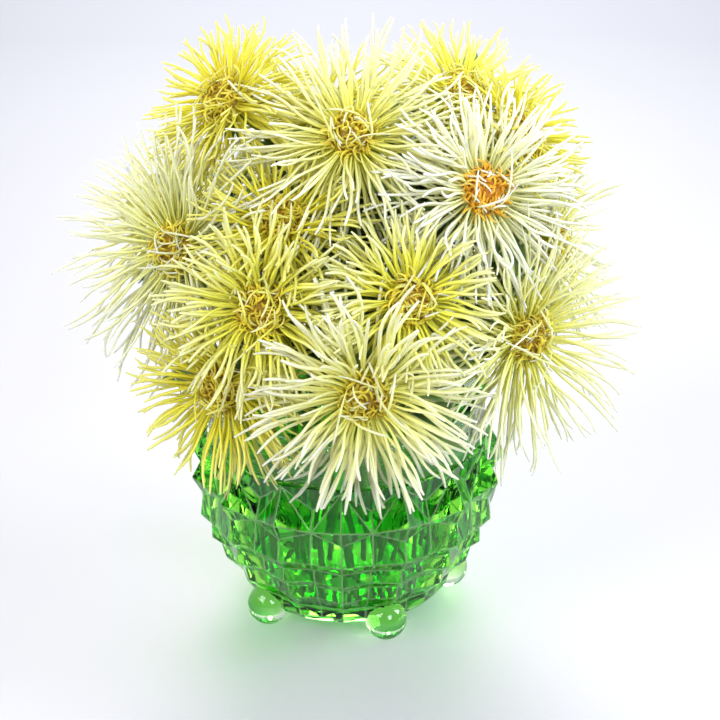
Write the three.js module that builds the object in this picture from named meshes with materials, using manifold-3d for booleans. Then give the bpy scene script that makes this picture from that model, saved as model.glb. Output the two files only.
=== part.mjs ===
// A bunch of needle asters in a pressed green glass vase, in millimetres, +Z up.
// It is built round the vertical axis of the vase, with the table at z = 0. Azimuth 0 is the front, -Y,
// and azimuths grow towards the right, +X.

import * as THREE from "three";
import { mergeVertices } from "three/addons/utils/BufferGeometryUtils.js";
import Module from "manifold-3d";

// Driving dimensions of the vase. Each level holds [radius, height] on the ridges of the cut cells and
// in the valleys between them, from the collar down to the underside.
const CELLS = 15; // cut cells round the vase
const RIDGE_AZIMUTH = -1.8; // degrees, of the ridge nearest the front
const GLASS_LEVELS = [
  { ridge: [69.8, 118], valley: [69.8, 118] }, // lip
  { ridge: [68.4, 112], valley: [68.4, 112] }, // collar
  { ridge: [69, 94], valley: [69, 94] },
  { ridge: [71, 92], valley: [69.4, 92] }, // shoulder
  { ridge: [71, 92], valley: [67.8, 80.5] }, // fork of the valley
  { ridge: [80, 75], valley: [72.8, 69.8] }, // points of the widest row
  { ridge: [73.8, 65.3], valley: [72.8, 69.8] },
  { ridge: [75.3, 53.5], valley: [74.8, 53.2] }, // second row
  { ridge: [70, 47.2], valley: [67.4, 46.8] },
  { ridge: [70.3, 39.5], valley: [66.2, 39] }, // third row
  { ridge: [65.5, 35.3], valley: [62.8, 35] },
  { ridge: [63.2, 27], valley: [59.8, 26.6] }, // fourth row
  { ridge: [54.2, 18.5], valley: [53.6, 18.5] },
  { ridge: [52.6, 11.4], valley: [52.4, 11.4] }, // base band
  { ridge: [50.2, 7], valley: [50, 7] },
];
const GLASS_FLOOR = 11; // height of the floor inside
const INSIDE = [
  [40, GLASS_FLOOR],
  [50, 20],
  [58, 45],
  [62, 75],
  [63.5, 94],
]; // [radius, height] of the wall inside, straight above the last one
const INSIDE_SIDES = 20;
const FEET = 5;
const FOOT = { radius: 10.5, centre: 9.2, ring: 51.5, azimuth: 22, sides: 9 };
const WATER_TOP = 103;
const SEAT = 0.35; // clearance between pieces that touch
const HOLE_CLEARANCE = 1.1; // round a stem in the water

// Driving dimensions of a flower. A head's own frame has +Z along its axis.
const STEM_RADIUS = 1.9;
const STEM_TOP = -15; // where the stem meets the green cup, in the head's frame
const STEM_SIDES = 5;
const CUP = { radius: 6.2, top: -5.4, waist: -9.5 };
const BRACTS = { count: 6, reach: 18, droop: -11.5, thickness: 0.9 };
const SPOKES = 12; // facets round the receptacle
const RECEPTACLE = [
  [7.2, -5],
  [10, -1.5],
  [10.8, 2.5],
  [9.2, 6.6],
]; // [radius, height] of its edges
const FACE_DEPTH = 10; // from the middle of the disc's face back to the receptacle's own middle
const RAY_RADIUS = 1.25; // round the three corners of a ray
const JOINTS_AT = { 1: [0.8], 2: [0.42, 0.86] }; // shares of a ray's length, for one joint or two
const DISC = { sides: 7, base: 8.2, shoulder: 7.8, crown: 4.6, height: 7.2, quillRadius: 0.95 };

// The asters: where the middle of each disc's face lies, the azimuth and elevation that it faces, the
// reach of its rays, and its colour. The first thirteen make the front, the others the back.
const ASTERS = [
  { at: [-63, 26, 258], faces: [-52, 40], reach: 47, colour: "gold" },
  { at: [2, -4, 250], faces: [-6, 46], reach: 66, colour: "cream" },
  { at: [60, 34, 258], faces: [40, 50], reach: 47, colour: "yellow" },
  { at: [67, -26, 228], faces: [24, 24], reach: 56, colour: "cream" },
  { at: [-86, -12, 194], faces: [-36, 16], reach: 70, colour: "pale" },
  { at: [-31, -26, 218], faces: [-8, 64], reach: 49, colour: "gold" },
  { at: [-40, -62, 183], faces: [-4, 20], reach: 52, colour: "yellow" },
  { at: [31, -62, 188], faces: [12, 26], reach: 49, colour: "yellow" },
  { at: [90, -37, 156], faces: [36, 4], reach: 68, colour: "pale" },
  { at: [-63, -54, 136], faces: [-30, -4], reach: 53, colour: "gold" },
  { at: [9, -84, 147], faces: [4, 4], reach: 60, colour: "cream" },
  { at: [109, 20, 184], faces: [74, 10], reach: 52, colour: "pale" },
  { at: [88, 20, 242], faces: [58, 38], reach: 44, colour: "gold" },
  { at: [-94, 58, 186], faces: [-124, 14], reach: 54, colour: "cream" },
  { at: [-10, 66, 240], faces: [-172, 46], reach: 56, colour: "yellow" },
  { at: [46, 94, 198], faces: [158, 18], reach: 56, colour: "cream" },
  { at: [-38, 102, 168], faces: [-160, 4], reach: 54, colour: "pale" },
  { at: [80, 72, 142], faces: [128, -4], reach: 52, colour: "yellow" },
];
const COLOURS = {
  cream: 0xf1ecc4,
  pale: 0xe9e7b6,
  yellow: 0xeae287,
  gold: 0xe2d45a,
};

// Circles of rays round a head, from the drooping ones to the short ones by the disc: the band of the
// receptacle that they grow from, which of its facets, their elevation and their share of the reach.
const RAY_CIRCLES = [
  { band: 0, parity: 1, every: 1, elevation: -14, spread: 7, share: 0.97, joints: 1 },
  { band: 1, parity: 0, every: 1, elevation: 2, spread: 7, share: 1, joints: 2 },
  { band: 1, parity: 1, every: 1, elevation: 20, spread: 8, share: 0.94, joints: 1 },
  { band: 2, parity: 0, every: 2, elevation: 40, spread: 8, share: 0.74, joints: 1 },
];

const LEAF = { length: 52, halfWidth: 11, thickness: 0.8, steps: 7, fold: 0.22, sag: 9, toothDepth: 0.3 };
const LEAF_GREEN = 0x3f6b2c;

const rad = THREE.MathUtils.degToRad;
const vec = (x, y, z) => new THREE.Vector3(x, y, z);

// A seeded random source, so that the bunch is the same each time.
function randomSource(seed) {
  let state = seed;
  return () => {
    state = (state + 0x6d2b79f5) | 0;
    let t = Math.imul(state ^ (state >>> 15), 1 | state);
    t = (t + Math.imul(t ^ (t >>> 7), 61 | t)) ^ t;
    return ((t ^ (t >>> 14)) >>> 0) / 4294967296;
  };
}

// A direction from its azimuth and elevation in degrees.
function heading(azimuth, elevation) {
  const a = rad(azimuth);
  const e = rad(elevation);
  return vec(Math.sin(a) * Math.cos(e), -Math.cos(a) * Math.cos(e), Math.sin(e));
}

function polar(radius, azimuth, z) {
  return heading(azimuth, 0).multiplyScalar(radius).setZ(z);
}

// A ring of points in a head's frame; turn is in steps of the ring.
function ring(count, radius, z, turn = 0) {
  const points = [];
  for (let k = 0; k < count; k++) {
    const a = ((k + turn) / count) * 2 * Math.PI;
    points.push(vec(radius * Math.cos(a), radius * Math.sin(a), z));
  }
  return points;
}

// A ring of points across a line, the first one towards the given side of it.
function ringAcross(centre, along, side, radius, count) {
  const u = side.clone().addScaledVector(along, -side.dot(along)).normalize();
  const v = along.clone().cross(u);
  return ring(count, radius, 0).map((p) => centre.clone().addScaledVector(u, p.x).addScaledVector(v, p.y));
}

// Solids and geometries.
const wasm = await Module();
wasm.setup();

function geometryOf(triangles) {
  const flat = [];
  for (const [a, b, c] of triangles) {
    if (a.distanceToSquared(b) && b.distanceToSquared(c) && c.distanceToSquared(a)) {
      flat.push(...a.toArray(), ...b.toArray(), ...c.toArray());
    }
  }
  const geometry = new THREE.BufferGeometry();
  geometry.setAttribute("position", new THREE.Float32BufferAttribute(flat, 3));
  return geometry;
}

function solidOf(geometry) {
  const bare = geometry.clone();
  bare.deleteAttribute("normal");
  bare.deleteAttribute("uv");
  const merged = mergeVertices(bare, 1e-4);
  return new wasm.Manifold(
    new wasm.Mesh({
      numProp: 3,
      vertProperties: new Float32Array(merged.attributes.position.array),
      triVerts: new Uint32Array(merged.index.array),
    }),
  );
}

function geometryFromSolid(solid) {
  const mesh = solid.getMesh();
  const geometry = new THREE.BufferGeometry();
  geometry.setAttribute("position", new THREE.BufferAttribute(mesh.vertProperties, 3));
  geometry.setIndex(new THREE.BufferAttribute(mesh.triVerts, 1));
  return geometry;
}

// The triangles between two rings of points that run anticlockwise seen from the high one. The rings
// may differ in their counts, and a ring of one point is an apex.
function bridge(low, high) {
  const triangles = [];
  let a = 0;
  let b = 0;
  while (a < low.length || b < high.length) {
    const stepLow = high.length === 1 || (a < low.length && (a + 1) / low.length <= (b + 1) / high.length);
    const p = low[a % low.length];
    const q = high[b % high.length];
    if (stepLow && low.length > 1) {
      triangles.push([p, low[(a + 1) % low.length], q]);
      a++;
    } else {
      triangles.push([p, high[(b + 1) % high.length], q]);
      b++;
    }
    if (high.length === 1 && a === low.length) break;
    if (low.length === 1 && b === high.length) break;
  }
  return triangles;
}

// A fan that closes a ring of points that run anticlockwise seen from outside.
function fan(points) {
  const triangles = [];
  for (let k = 1; k + 1 < points.length; k++) triangles.push([points[0], points[k], points[k + 1]]);
  return triangles;
}

// A closed skin over rings of points.
function skin(rings) {
  const triangles = [...fan([...rings[0]].reverse()), ...fan(rings[rings.length - 1])];
  for (let i = 0; i + 1 < rings.length; i++) triangles.push(...bridge(rings[i], rings[i + 1]));
  return triangles;
}

// The room that slender pieces take, as capsules in a grid of cells, so that rays, stems and leaves can
// be bent clear of each other.
const CELL = 14;
class Room {
  cells = new Map();

  keys(a, b, reach) {
    const low = a.clone().min(b).subScalar(reach).divideScalar(CELL).floor();
    const high = a.clone().max(b).addScalar(reach).divideScalar(CELL).floor();
    const keys = [];
    for (let x = low.x; x <= high.x; x++) {
      for (let y = low.y; y <= high.y; y++) {
        for (let z = low.z; z <= high.z; z++) keys.push(x + "," + y + "," + z);
      }
    }
    return keys;
  }

  take(a, b, radius, owner) {
    const item = { a, b, radius, owner };
    for (const key of this.keys(a, b, radius)) {
      if (!this.cells.has(key)) this.cells.set(key, []);
      this.cells.get(key).push(item);
    }
  }

  isFree(a, b, radius, gap, skip) {
    const seen = new Set();
    for (const key of this.keys(a, b, radius + gap)) {
      for (const item of this.cells.get(key) ?? []) {
        if (seen.has(item) || skip?.(item.owner)) continue;
        seen.add(item);
        if (segmentDistance(a, b, item.a, item.b) < radius + item.radius + gap) return false;
      }
    }
    return true;
  }
}

function segmentDistance(p1, q1, p2, q2) {
  const d1 = q1.clone().sub(p1);
  const d2 = q2.clone().sub(p2);
  const r = p1.clone().sub(p2);
  const a = d1.dot(d1);
  const e = d2.dot(d2);
  const f = d2.dot(r);
  const c = d1.dot(r);
  const b = d1.dot(d2);
  const clamp = (x) => Math.min(1, Math.max(0, x));
  const denominator = a * e - b * b;
  let s = denominator > 1e-9 ? clamp((b * f - c * e) / denominator) : 0;
  let t = e > 1e-9 ? (b * s + f) / e : 0;
  if (t < 0 || t > 1) {
    t = clamp(t);
    s = a > 1e-9 ? clamp((b * t - c) / a) : 0;
  }
  return p1.clone().addScaledVector(d1, s).distanceTo(p2.clone().addScaledVector(d2, t));
}

// The widest radius of the glass at a height, for what hangs outside it.
function glassRadiusAt(z) {
  const low = GLASS_LEVELS[GLASS_LEVELS.length - 1].ridge[1];
  const high = GLASS_LEVELS[0].ridge[1];
  if (z > high || z < low) return 0;
  for (let i = 0; i + 1 < GLASS_LEVELS.length; i++) {
    const [r1, z1] = GLASS_LEVELS[i].ridge;
    const [r2, z2] = GLASS_LEVELS[i + 1].ridge;
    if (z <= z1 && z >= z2 && z1 > z2) return r1 + ((r2 - r1) * (z1 - z)) / (z1 - z2);
  }
  return 0;
}

// Whether a stretch stays outside the glass and above the table.
function outsideGlass(a, b, radius) {
  const steps = Math.ceil(a.distanceTo(b) / 3);
  for (let i = 0; i <= steps; i++) {
    const p = a.clone().lerp(b, i / steps);
    if (p.z < GLASS_LEVELS[0].ridge[1] + radius + 1) {
      const wall = Math.max(glassRadiusAt(p.z), glassRadiusAt(p.z - radius - 1), glassRadiusAt(p.z + radius));
      if (Math.hypot(p.x, p.y) < wall + radius + 1) return false;
    }
  }
  return true;
}

// The vase: cut cells outside, a plain hollow inside, and five ball feet, in one pressed piece.
function hollowProfile(clearance, top) {
  const floor = GLASS_FLOOR + clearance;
  const points = [new THREE.Vector2(0, floor)];
  for (const [radius, z] of INSIDE) points.push(new THREE.Vector2(radius - clearance, Math.max(z, floor)));
  const lastRadius = INSIDE[INSIDE.length - 1][0] - clearance;
  points.push(new THREE.Vector2(lastRadius, top), new THREE.Vector2(0, top));
  return points;
}

function hollowGeometry(clearance, top) {
  const geometry = new THREE.LatheGeometry(hollowProfile(clearance, top), INSIDE_SIDES);
  geometry.rotateX(Math.PI / 2);
  return geometry;
}

function vaseGeometry() {
  const pitch = 360 / CELLS;
  const rings = GLASS_LEVELS.map(({ ridge, valley }) => {
    const points = [];
    for (let k = 0; k < CELLS; k++) {
      const azimuth = RIDGE_AZIMUTH + k * pitch;
      points.push(polar(ridge[0], azimuth, ridge[1]));
      points.push(polar(valley[0], azimuth + pitch / 2, valley[1]));
    }
    return points;
  }).reverse();
  const triangles = [];
  const count = 2 * CELLS;
  for (let i = 0; i + 1 < rings.length; i++) {
    for (let k = 0; k < count; k++) {
      const next = (k + 1) % count;
      const [a, b, c, d] = [rings[i][k], rings[i][next], rings[i + 1][next], rings[i + 1][k]];
      if (k % 2 === 0) triangles.push([a, b, d], [b, c, d]);
      else triangles.push([a, b, c], [a, c, d]);
    }
  }
  const underside = rings[0];
  const top = rings[rings.length - 1];
  for (let k = 1; k + 1 < count; k++) {
    triangles.push([underside[0], underside[k + 1], underside[k]]);
    triangles.push([top[0], top[k], top[k + 1]]);
  }
  let body = solidOf(geometryOf(triangles));
  const lip = GLASS_LEVELS[0].ridge[1];
  body = body.subtract(solidOf(hollowGeometry(0, lip + 5)));
  for (let k = 0; k < FEET; k++) {
    const ball = new THREE.SphereGeometry(FOOT.radius, FOOT.sides, 5);
    ball.rotateX(Math.PI / 2);
    const at = polar(FOOT.ring, FOOT.azimuth + (k * 360) / FEET, FOOT.centre);
    ball.translate(at.x, at.y, at.z);
    const below = new THREE.BoxGeometry(40, 40, 20);
    below.translate(at.x, at.y, -10);
    const foot = solidOf(ball).subtract(solidOf(below));
    body = body.add(foot.subtract(solidOf(hollowGeometry(0, lip))));
  }
  return geometryFromSolid(body);
}

// A head's frame: its origin is in the middle of the receptacle.
function headFrame({ at, faces }, spin) {
  const frame = new THREE.Object3D();
  frame.position.set(...at).addScaledVector(heading(...faces), -FACE_DEPTH);
  frame.quaternion.setFromUnitVectors(vec(0, 0, 1), heading(...faces));
  frame.rotateZ(spin);
  frame.updateMatrixWorld(true);
  return frame;
}

// The line of a stem: straight from the floor of the vase to the mouth, all stems with the same twist,
// then a curve up into the back of the head.
const STEM_FOOT = 12; // height of the cut end
const MOUTH = 108;
const MOUTH_SPREAD = 52;
const FOOT_SHARE = 0.58;
const TWIST = 24; // degrees from mouth to foot

function stemLine(frame, mouthPoint, bow) {
  const foot = mouthPoint.clone().multiplyScalar(FOOT_SHARE).applyAxisAngle(vec(0, 0, 1), rad(TWIST));
  foot.z = STEM_FOOT;
  const rise = mouthPoint.clone().sub(foot).normalize();
  const axis = vec(0, 0, 1).applyQuaternion(frame.quaternion);
  const end = frame.localToWorld(vec(0, 0, STEM_TOP));
  const span = mouthPoint.distanceTo(end);
  const curve = new THREE.CubicBezierCurve3(
    mouthPoint,
    mouthPoint.clone().addScaledVector(rise, span * bow),
    end.clone().addScaledVector(axis, -span * 0.38),
    end,
  );
  return { foot, curve };
}

const STEM_STEPS = 4;

function stemPoints(line) {
  return [line.foot, ...line.curve.getPoints(STEM_STEPS)];
}

function stemIsClear(room, points, owner) {
  for (let i = 0; i + 1 < points.length; i++) {
    const last = i + 2 === points.length;
    const skip = (other) => last && other === owner;
    if (!room.isFree(points[i], points[i + 1], STEM_RADIUS, 1.2, skip)) return false;
    if (i > 0) {
      for (const p of [points[i], points[i + 1], points[i].clone().lerp(points[i + 1], 0.5)]) {
        const mouthWall = INSIDE[INSIDE.length - 1][0];
        const inLip = p.z < GLASS_LEVELS[0].ridge[1] + 4;
        if (inLip && Math.hypot(p.x, p.y) > mouthWall - STEM_RADIUS - 2) return false;
      }
    }
  }
  return true;
}

function findStem(room, frame, owner, random) {
  const place = frame.position;
  const out = Math.hypot(place.x, place.y);
  const azimuth = (Math.atan2(place.x, -place.y) * 180) / Math.PI;
  const lean = Math.min(1, Math.max(0.15, out / 90) * (place.z < 170 ? 1.1 : 0.9));
  for (let attempt = 0; attempt < 400; attempt++) {
    const wander = attempt / 400;
    const radius = Math.min(MOUTH_SPREAD, MOUTH_SPREAD * lean * (1 + (random() - 0.5) * wander * 1.4));
    const turn = (random() - 0.5) * 120 * wander;
    const mouthPoint = polar(radius, azimuth + turn, MOUTH);
    const line = stemLine(frame, mouthPoint, 0.25 + 0.3 * random());
    if (stemIsClear(room, stemPoints(line), owner)) return line;
  }
  throw new Error("no clear way for the stem of " + owner);
}

// Where a leaf grows: two rings close together round the stem, a facet between them and its middle.
const LEAF_BASE = 3.2; // height of that facet

function leafBase(start, end, share, side, pointing) {
  const along = end.clone().sub(start).normalize();
  const place = start.clone().lerp(end, share);
  const rings = [-0.5, 0.5].map((turn) =>
    ringAcross(place.clone().addScaledVector(along, turn * LEAF_BASE), along, side, STEM_RADIUS, STEM_SIDES),
  );
  const middles = rings[0].map((p, k) => {
    const next = (k + 1) % STEM_SIDES;
    return p.clone().add(rings[0][next]).add(rings[1][k]).add(rings[1][next]).divideScalar(4);
  });
  const facing = middles.map((middle) => middle.clone().sub(place).dot(pointing));
  const facet = facing.indexOf(Math.max(...facing));
  return { rings, facet, middle: middles[facet] };
}

// The sides to which the first points of the stem's rings are turned. They are worked out from the
// head down, each turned as little as it can be from the last.
function stemSides(frame, points) {
  const side = vec(1, 0, 0).applyQuaternion(frame.quaternion);
  const sides = [];
  for (let i = points.length - 1; i >= 0; i--) {
    const along = vec(0, 0, 1).applyQuaternion(frame.quaternion);
    if (i < points.length - 1) along.copy(points[i + 1]).sub(points[i]).normalize();
    if (i < points.length - 1 && i > 0) {
      along.add(points[i].clone().sub(points[i - 1]).normalize()).normalize();
    }
    side.addScaledVector(along, -side.dot(along)).normalize();
    sides.unshift({ along, side: side.clone() });
  }
  return sides;
}

// The stem, its green cup, the star of bracts under the head, and its leaf.
function stemTriangles(frame, line, leaf) {
  const points = stemPoints(line);
  const sides = stemSides(frame, points);
  const rings = points.map((point, i) =>
    ringAcross(point, sides[i].along, sides[i].side, STEM_RADIUS, STEM_SIDES),
  );
  const star = (lift) => {
    const outline = [];
    for (let k = 0; k < 2 * BRACTS.count; k++) {
      const isTip = k % 2 === 0;
      const radius = isTip ? BRACTS.reach : CUP.radius + 1.2;
      const z = isTip ? BRACTS.droop : CUP.waist;
      const a = (k / (2 * BRACTS.count)) * 2 * Math.PI;
      outline.push(vec(radius * Math.cos(a), radius * Math.sin(a), z + lift));
    }
    return outline;
  };
  const head = [
    ring(STEM_SIDES, STEM_RADIUS + 1, CUP.waist - 2.6),
    star(0),
    star(BRACTS.thickness),
    ring(BRACTS.count, CUP.radius, CUP.top),
  ].map((points_) => points_.map((p) => frame.localToWorld(p)));
  if (!leaf) return skin([...rings, ...head]);

  const [low, high] = leaf.base.rings;
  const below = [...rings.slice(0, leaf.after + 1), low];
  const above = [high, ...rings.slice(leaf.after + 1), ...head];
  const triangles = [...fan([...below[0]].reverse()), ...fan(above[above.length - 1])];
  for (const run of [below, above]) {
    for (let i = 0; i + 1 < run.length; i++) triangles.push(...bridge(run[i], run[i + 1]));
  }
  const facet = leaf.base.facet;
  bandFacets(low, high, true).forEach((triangle, i) => {
    if (Math.floor(i / 2) !== facet) triangles.push(triangle);
  });
  const next = (facet + 1) % STEM_SIDES;
  const foot = [low[facet], low[next], high[next], high[facet]];
  triangles.push(...leafTriangles(foot, (p) => leaf.frame.localToWorld(p.clone())));
  return triangles;
}

// A leaf with cut edges: an arched blade folded along its midrib, in its own frame, +X to the tip.
function leafPoint(t, side) {
  const tooth = Math.round(t * LEAF.steps) % 2 === 1 ? 1 + LEAF.toothDepth : 1 - LEAF.toothDepth;
  const belly = Math.sin(Math.PI * Math.pow(t, 0.75));
  const half = t === 0 || t === 1 ? 0 : LEAF.halfWidth * belly * tooth + 1.2;
  const y = side * half;
  return vec(LEAF.length * t + Math.abs(side) * 2.5 * belly, y, Math.abs(y) * LEAF.fold - LEAF.sag * t * t);
}

// The triangles of the blade and of the stalk that joins it to its four-cornered foot on the stem.
function leafTriangles(foot, place) {
  const { steps, thickness } = LEAF;
  const lower = (p) => p.clone().setZ(p.z - thickness);
  const rows = [[-1, 0, 1].map((side) => vec(-1, side * 1.3, side ? 0.3 : 0))];
  for (let i = 1; i < steps; i++) rows.push([-1, 0, 1].map((side) => leafPoint(i / steps, side)));
  const triangles = [];
  for (let i = 0; i + 1 < rows.length; i++) {
    const [l0, m0, r0] = rows[i];
    const [l1, m1, r1] = rows[i + 1];
    for (const [a, b, c] of [
      [m0, l0, m1],
      [l0, l1, m1],
      [m0, m1, r0],
      [r0, m1, r1],
    ]) {
      triangles.push([a, b, c], [lower(a), lower(c), lower(b)]);
    }
    triangles.push([lower(l0), lower(l1), l1], [lower(l0), l1, l0]);
    triangles.push([lower(r1), lower(r0), r0], [lower(r1), r0, r1]);
  }
  const tip = leafPoint(1, 0);
  const [l, m, r] = rows[rows.length - 1];
  for (const [a, b, c] of [
    [m, l, tip],
    [m, tip, r],
  ]) {
    triangles.push([a, b, c], [lower(a), lower(c), lower(b)]);
  }
  triangles.push([lower(l), lower(tip), tip], [lower(l), tip, l]);
  triangles.push([lower(tip), lower(r), r], [lower(tip), r, tip]);
  const [l0, m0, r0] = rows[0];
  const root = [lower(l0), lower(m0), lower(r0), r0, m0, l0].map(place);
  return [...triangles.map((triangle) => triangle.map(place)), ...bridge(foot, root)];
}

// The blade as short lines across it, for the test of room.
function leafLines(frame) {
  const lines = [];
  const count = 16;
  for (let i = 1; i < count; i++) {
    const t = i / count;
    const nearest = Math.min(LEAF.steps - 1, Math.max(1, Math.round(t * LEAF.steps)));
    for (const side of [-1, 1]) {
      const edge = leafPoint(nearest / LEAF.steps, side);
      const middle = leafPoint(t, 0);
      edge.x += LEAF.length * (t - nearest / LEAF.steps);
      edge.z -= LEAF.sag * (t * t - (nearest / LEAF.steps) ** 2);
      lines.push([frame.localToWorld(middle), frame.localToWorld(edge)]);
    }
  }
  return lines;
}

// Looks for a place for a leaf on a stem: which share of the way up, which way it points.
function findLeaf(room, head, random) {
  const points = stemPoints(head.line);
  const sides = stemSides(head.frame, points);
  for (let attempt = 0; attempt < 240; attempt++) {
    const place = 1 + (0.3 + 0.62 * random()) * (points.length - 2);
    const after = Math.floor(place);
    const share = Math.min(0.9, Math.max(0.1, place - after));
    const [start, end] = [points[after], points[after + 1]];
    const along = end.clone().sub(start).normalize();
    const outward = (Math.atan2(start.x, -start.y) * 180) / Math.PI;
    const pointing = heading(outward + (random() - 0.5) * 150, -25 + 80 * random());
    if (Math.abs(along.dot(pointing)) > 0.7) continue;
    const base = leafBase(start, end, share, sides[after].side, pointing);
    const normal = along.clone().addScaledVector(pointing, -along.dot(pointing)).normalize();
    const across = normal.clone().cross(pointing);
    const frame = new THREE.Object3D();
    const origin = base.middle.clone().addScaledVector(pointing, 4);
    frame.matrix.makeBasis(pointing, across, normal).setPosition(origin);
    frame.matrix.decompose(frame.position, frame.quaternion, frame.scale);
    frame.updateMatrixWorld(true);
    const lines = leafLines(frame);
    const clear = lines.every(([a, b], i) => {
      const isOwn = (other) => i < 8 && other === head.name + " stem";
      return room.isFree(a, b, 1.2, 0.6, isOwn) && outsideGlass(a, b, 1.5);
    });
    const tip = frame.localToWorld(leafPoint(1, 0));
    if (clear && Math.hypot(tip.x, tip.y) > 62 && tip.z > 95) return { frame, lines, base, after };
  }
  return null;
}

// The line of a quill, from the middle of the facet that it grows out of, by its joints, to its tip.
function quillLine(curve, joints) {
  return [0, ...JOINTS_AT[joints], 1].map((t) => curve.getPoint(t));
}

// The triangles of a three-sided quill that grows out of the facet abc along its line.
function quillTriangles([a, b, c], line, radius) {
  const triangles = [];
  let below = [a, b, c];
  let side = a.clone().sub(line[0]);
  for (let j = 1; j + 1 < line.length; j++) {
    const before = line[j].clone().sub(line[j - 1]).normalize();
    const after = line[j + 1].clone().sub(line[j]).normalize();
    const above = ringAcross(line[j], before.add(after).normalize(), side, radius * (1.15 - 0.17 * j), 3);
    for (let k = 0; k < 3; k++) {
      const n = (k + 1) % 3;
      triangles.push([below[k], below[n], above[k]], [below[n], above[n], above[k]]);
    }
    side = above[0].clone().sub(line[j]);
    below = above;
  }
  const tip = line[line.length - 1];
  for (let k = 0; k < 3; k++) triangles.push([below[k], below[(k + 1) % 3], tip]);
  return triangles;
}

// A quill as capsules: it narrows from its facet to its first joint, then more slowly to its tip. Near
// its root it lies against its neighbours on the same head.
function quillCapsules(frame, line, radius) {
  const [root, knee, ...rest] = line.map((p) => frame.localToWorld(p.clone()));
  const half = root.clone().lerp(knee, 0.4);
  const capsules = [
    { a: root.clone().lerp(knee, 0.15), b: half, radius: radius * 2, atRoot: true },
    { a: half, b: knee, radius: radius * 1.5, atRoot: false },
  ];
  let from = knee;
  for (const to of rest) {
    capsules.push({ a: from, b: to, radius: radius * 1.05, atRoot: false });
    from = to;
  }
  return capsules;
}

// Takes the room of a quill if it is free.
function takeQuill(room, capsules, head, owner) {
  for (const { a, b, radius, atRoot } of capsules) {
    const isOwn = (other) => other === head || (atRoot && other === head + " rays");
    if (!room.isFree(a, b, radius, 0.35, isOwn) || !outsideGlass(a, b, radius)) return false;
  }
  for (const { a, b, radius } of capsules) room.take(a, b, radius, owner);
  return true;
}

// The facets between two rings of equal count, the upper one turned by half a step.
function bandFacets(low, high, turned) {
  const count = low.length;
  const facets = [];
  for (let k = 0; k < count; k++) {
    const n = (k + 1) % count;
    if (turned) facets.push([low[k], low[n], high[k]], [low[n], high[n], high[k]]);
    else facets.push([low[k], low[n], high[n]], [low[k], high[n], high[k]]);
  }
  return facets;
}

// The disc: a small dome of florets, some of which are longer quills that curl over it.
function discTriangles(frame, room, owner, random) {
  const floor = RECEPTACLE[RECEPTACLE.length - 1][1] + SEAT;
  const rings = [
    ring(DISC.sides, DISC.base, floor),
    ring(DISC.sides, DISC.shoulder, floor + 0.4 * DISC.height, 0.5),
    ring(DISC.sides, DISC.crown, floor + 0.85 * DISC.height),
  ];
  const crown = vec(0, 0, floor + DISC.height);
  const facets = [
    ...bandFacets(rings[0], rings[1], true),
    ...bandFacets(rings[1], rings[2], false),
    ...rings[2].map((p, k) => [p, rings[2][(k + 1) % DISC.sides], crown]),
  ];
  const triangles = [];
  for (let k = 1; k + 1 < DISC.sides; k++) triangles.push([rings[0][0], rings[0][k + 1], rings[0][k]]);
  facets.forEach((facet, i) => {
    const [a, b, c] = facet;
    const centre = a.clone().add(b).add(c).divideScalar(3);
    const normal = b.clone().sub(a).cross(c.clone().sub(a)).normalize();
    const isSide = i < 2 * DISC.sides;
    const isQuill = !isSide && i < 4 * DISC.sides && i % 2 === 0;
    if (isQuill) {
      const length = 9 + 4 * random();
      const inward = vec(-centre.x, -centre.y, 0).setLength(3 + 3 * random());
      const knee = centre.clone().addScaledVector(normal, 0.5 * length).add(vec(0, 0, 0.12 * length));
      const tip = knee.clone().addScaledVector(normal, 0.2 * length).add(vec(0, 0, 0.35 * length)).add(inward);
      const line = [centre, knee, tip];
      if (takeQuill(room, quillCapsules(frame, line, DISC.quillRadius), owner, owner + " disc")) {
        triangles.push(...quillTriangles(facet, line, DISC.quillRadius));
        return;
      }
    }
    const height = isSide ? 0.8 + 0.4 * random() : 1.6 + 1.6 * random();
    const tip = centre.addScaledVector(normal, height);
    triangles.push([a, b, tip], [b, c, tip], [c, a, tip]);
  });
  return triangles;
}

// One ray: the curve that it follows out of its facet, for a given elevation, turn and length.
function rayCurve(facetCentre, elevation, turn, length, bend) {
  const azimuth = Math.atan2(facetCentre.y, facetCentre.x) + rad(turn);
  const e = rad(elevation);
  const along = vec(Math.cos(azimuth) * Math.cos(e), Math.sin(azimuth) * Math.cos(e), Math.sin(e));
  const up = vec(-Math.cos(azimuth) * Math.sin(e), -Math.sin(azimuth) * Math.sin(e), Math.cos(e));
  const middle = facetCentre.clone().addScaledVector(along, 0.5 * length).addScaledVector(up, -bend * length);
  const tip = facetCentre.clone().addScaledVector(along, length).addScaledVector(up, bend * length * 0.4);
  return new THREE.QuadraticBezierCurve3(facetCentre, middle, tip);
}

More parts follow.
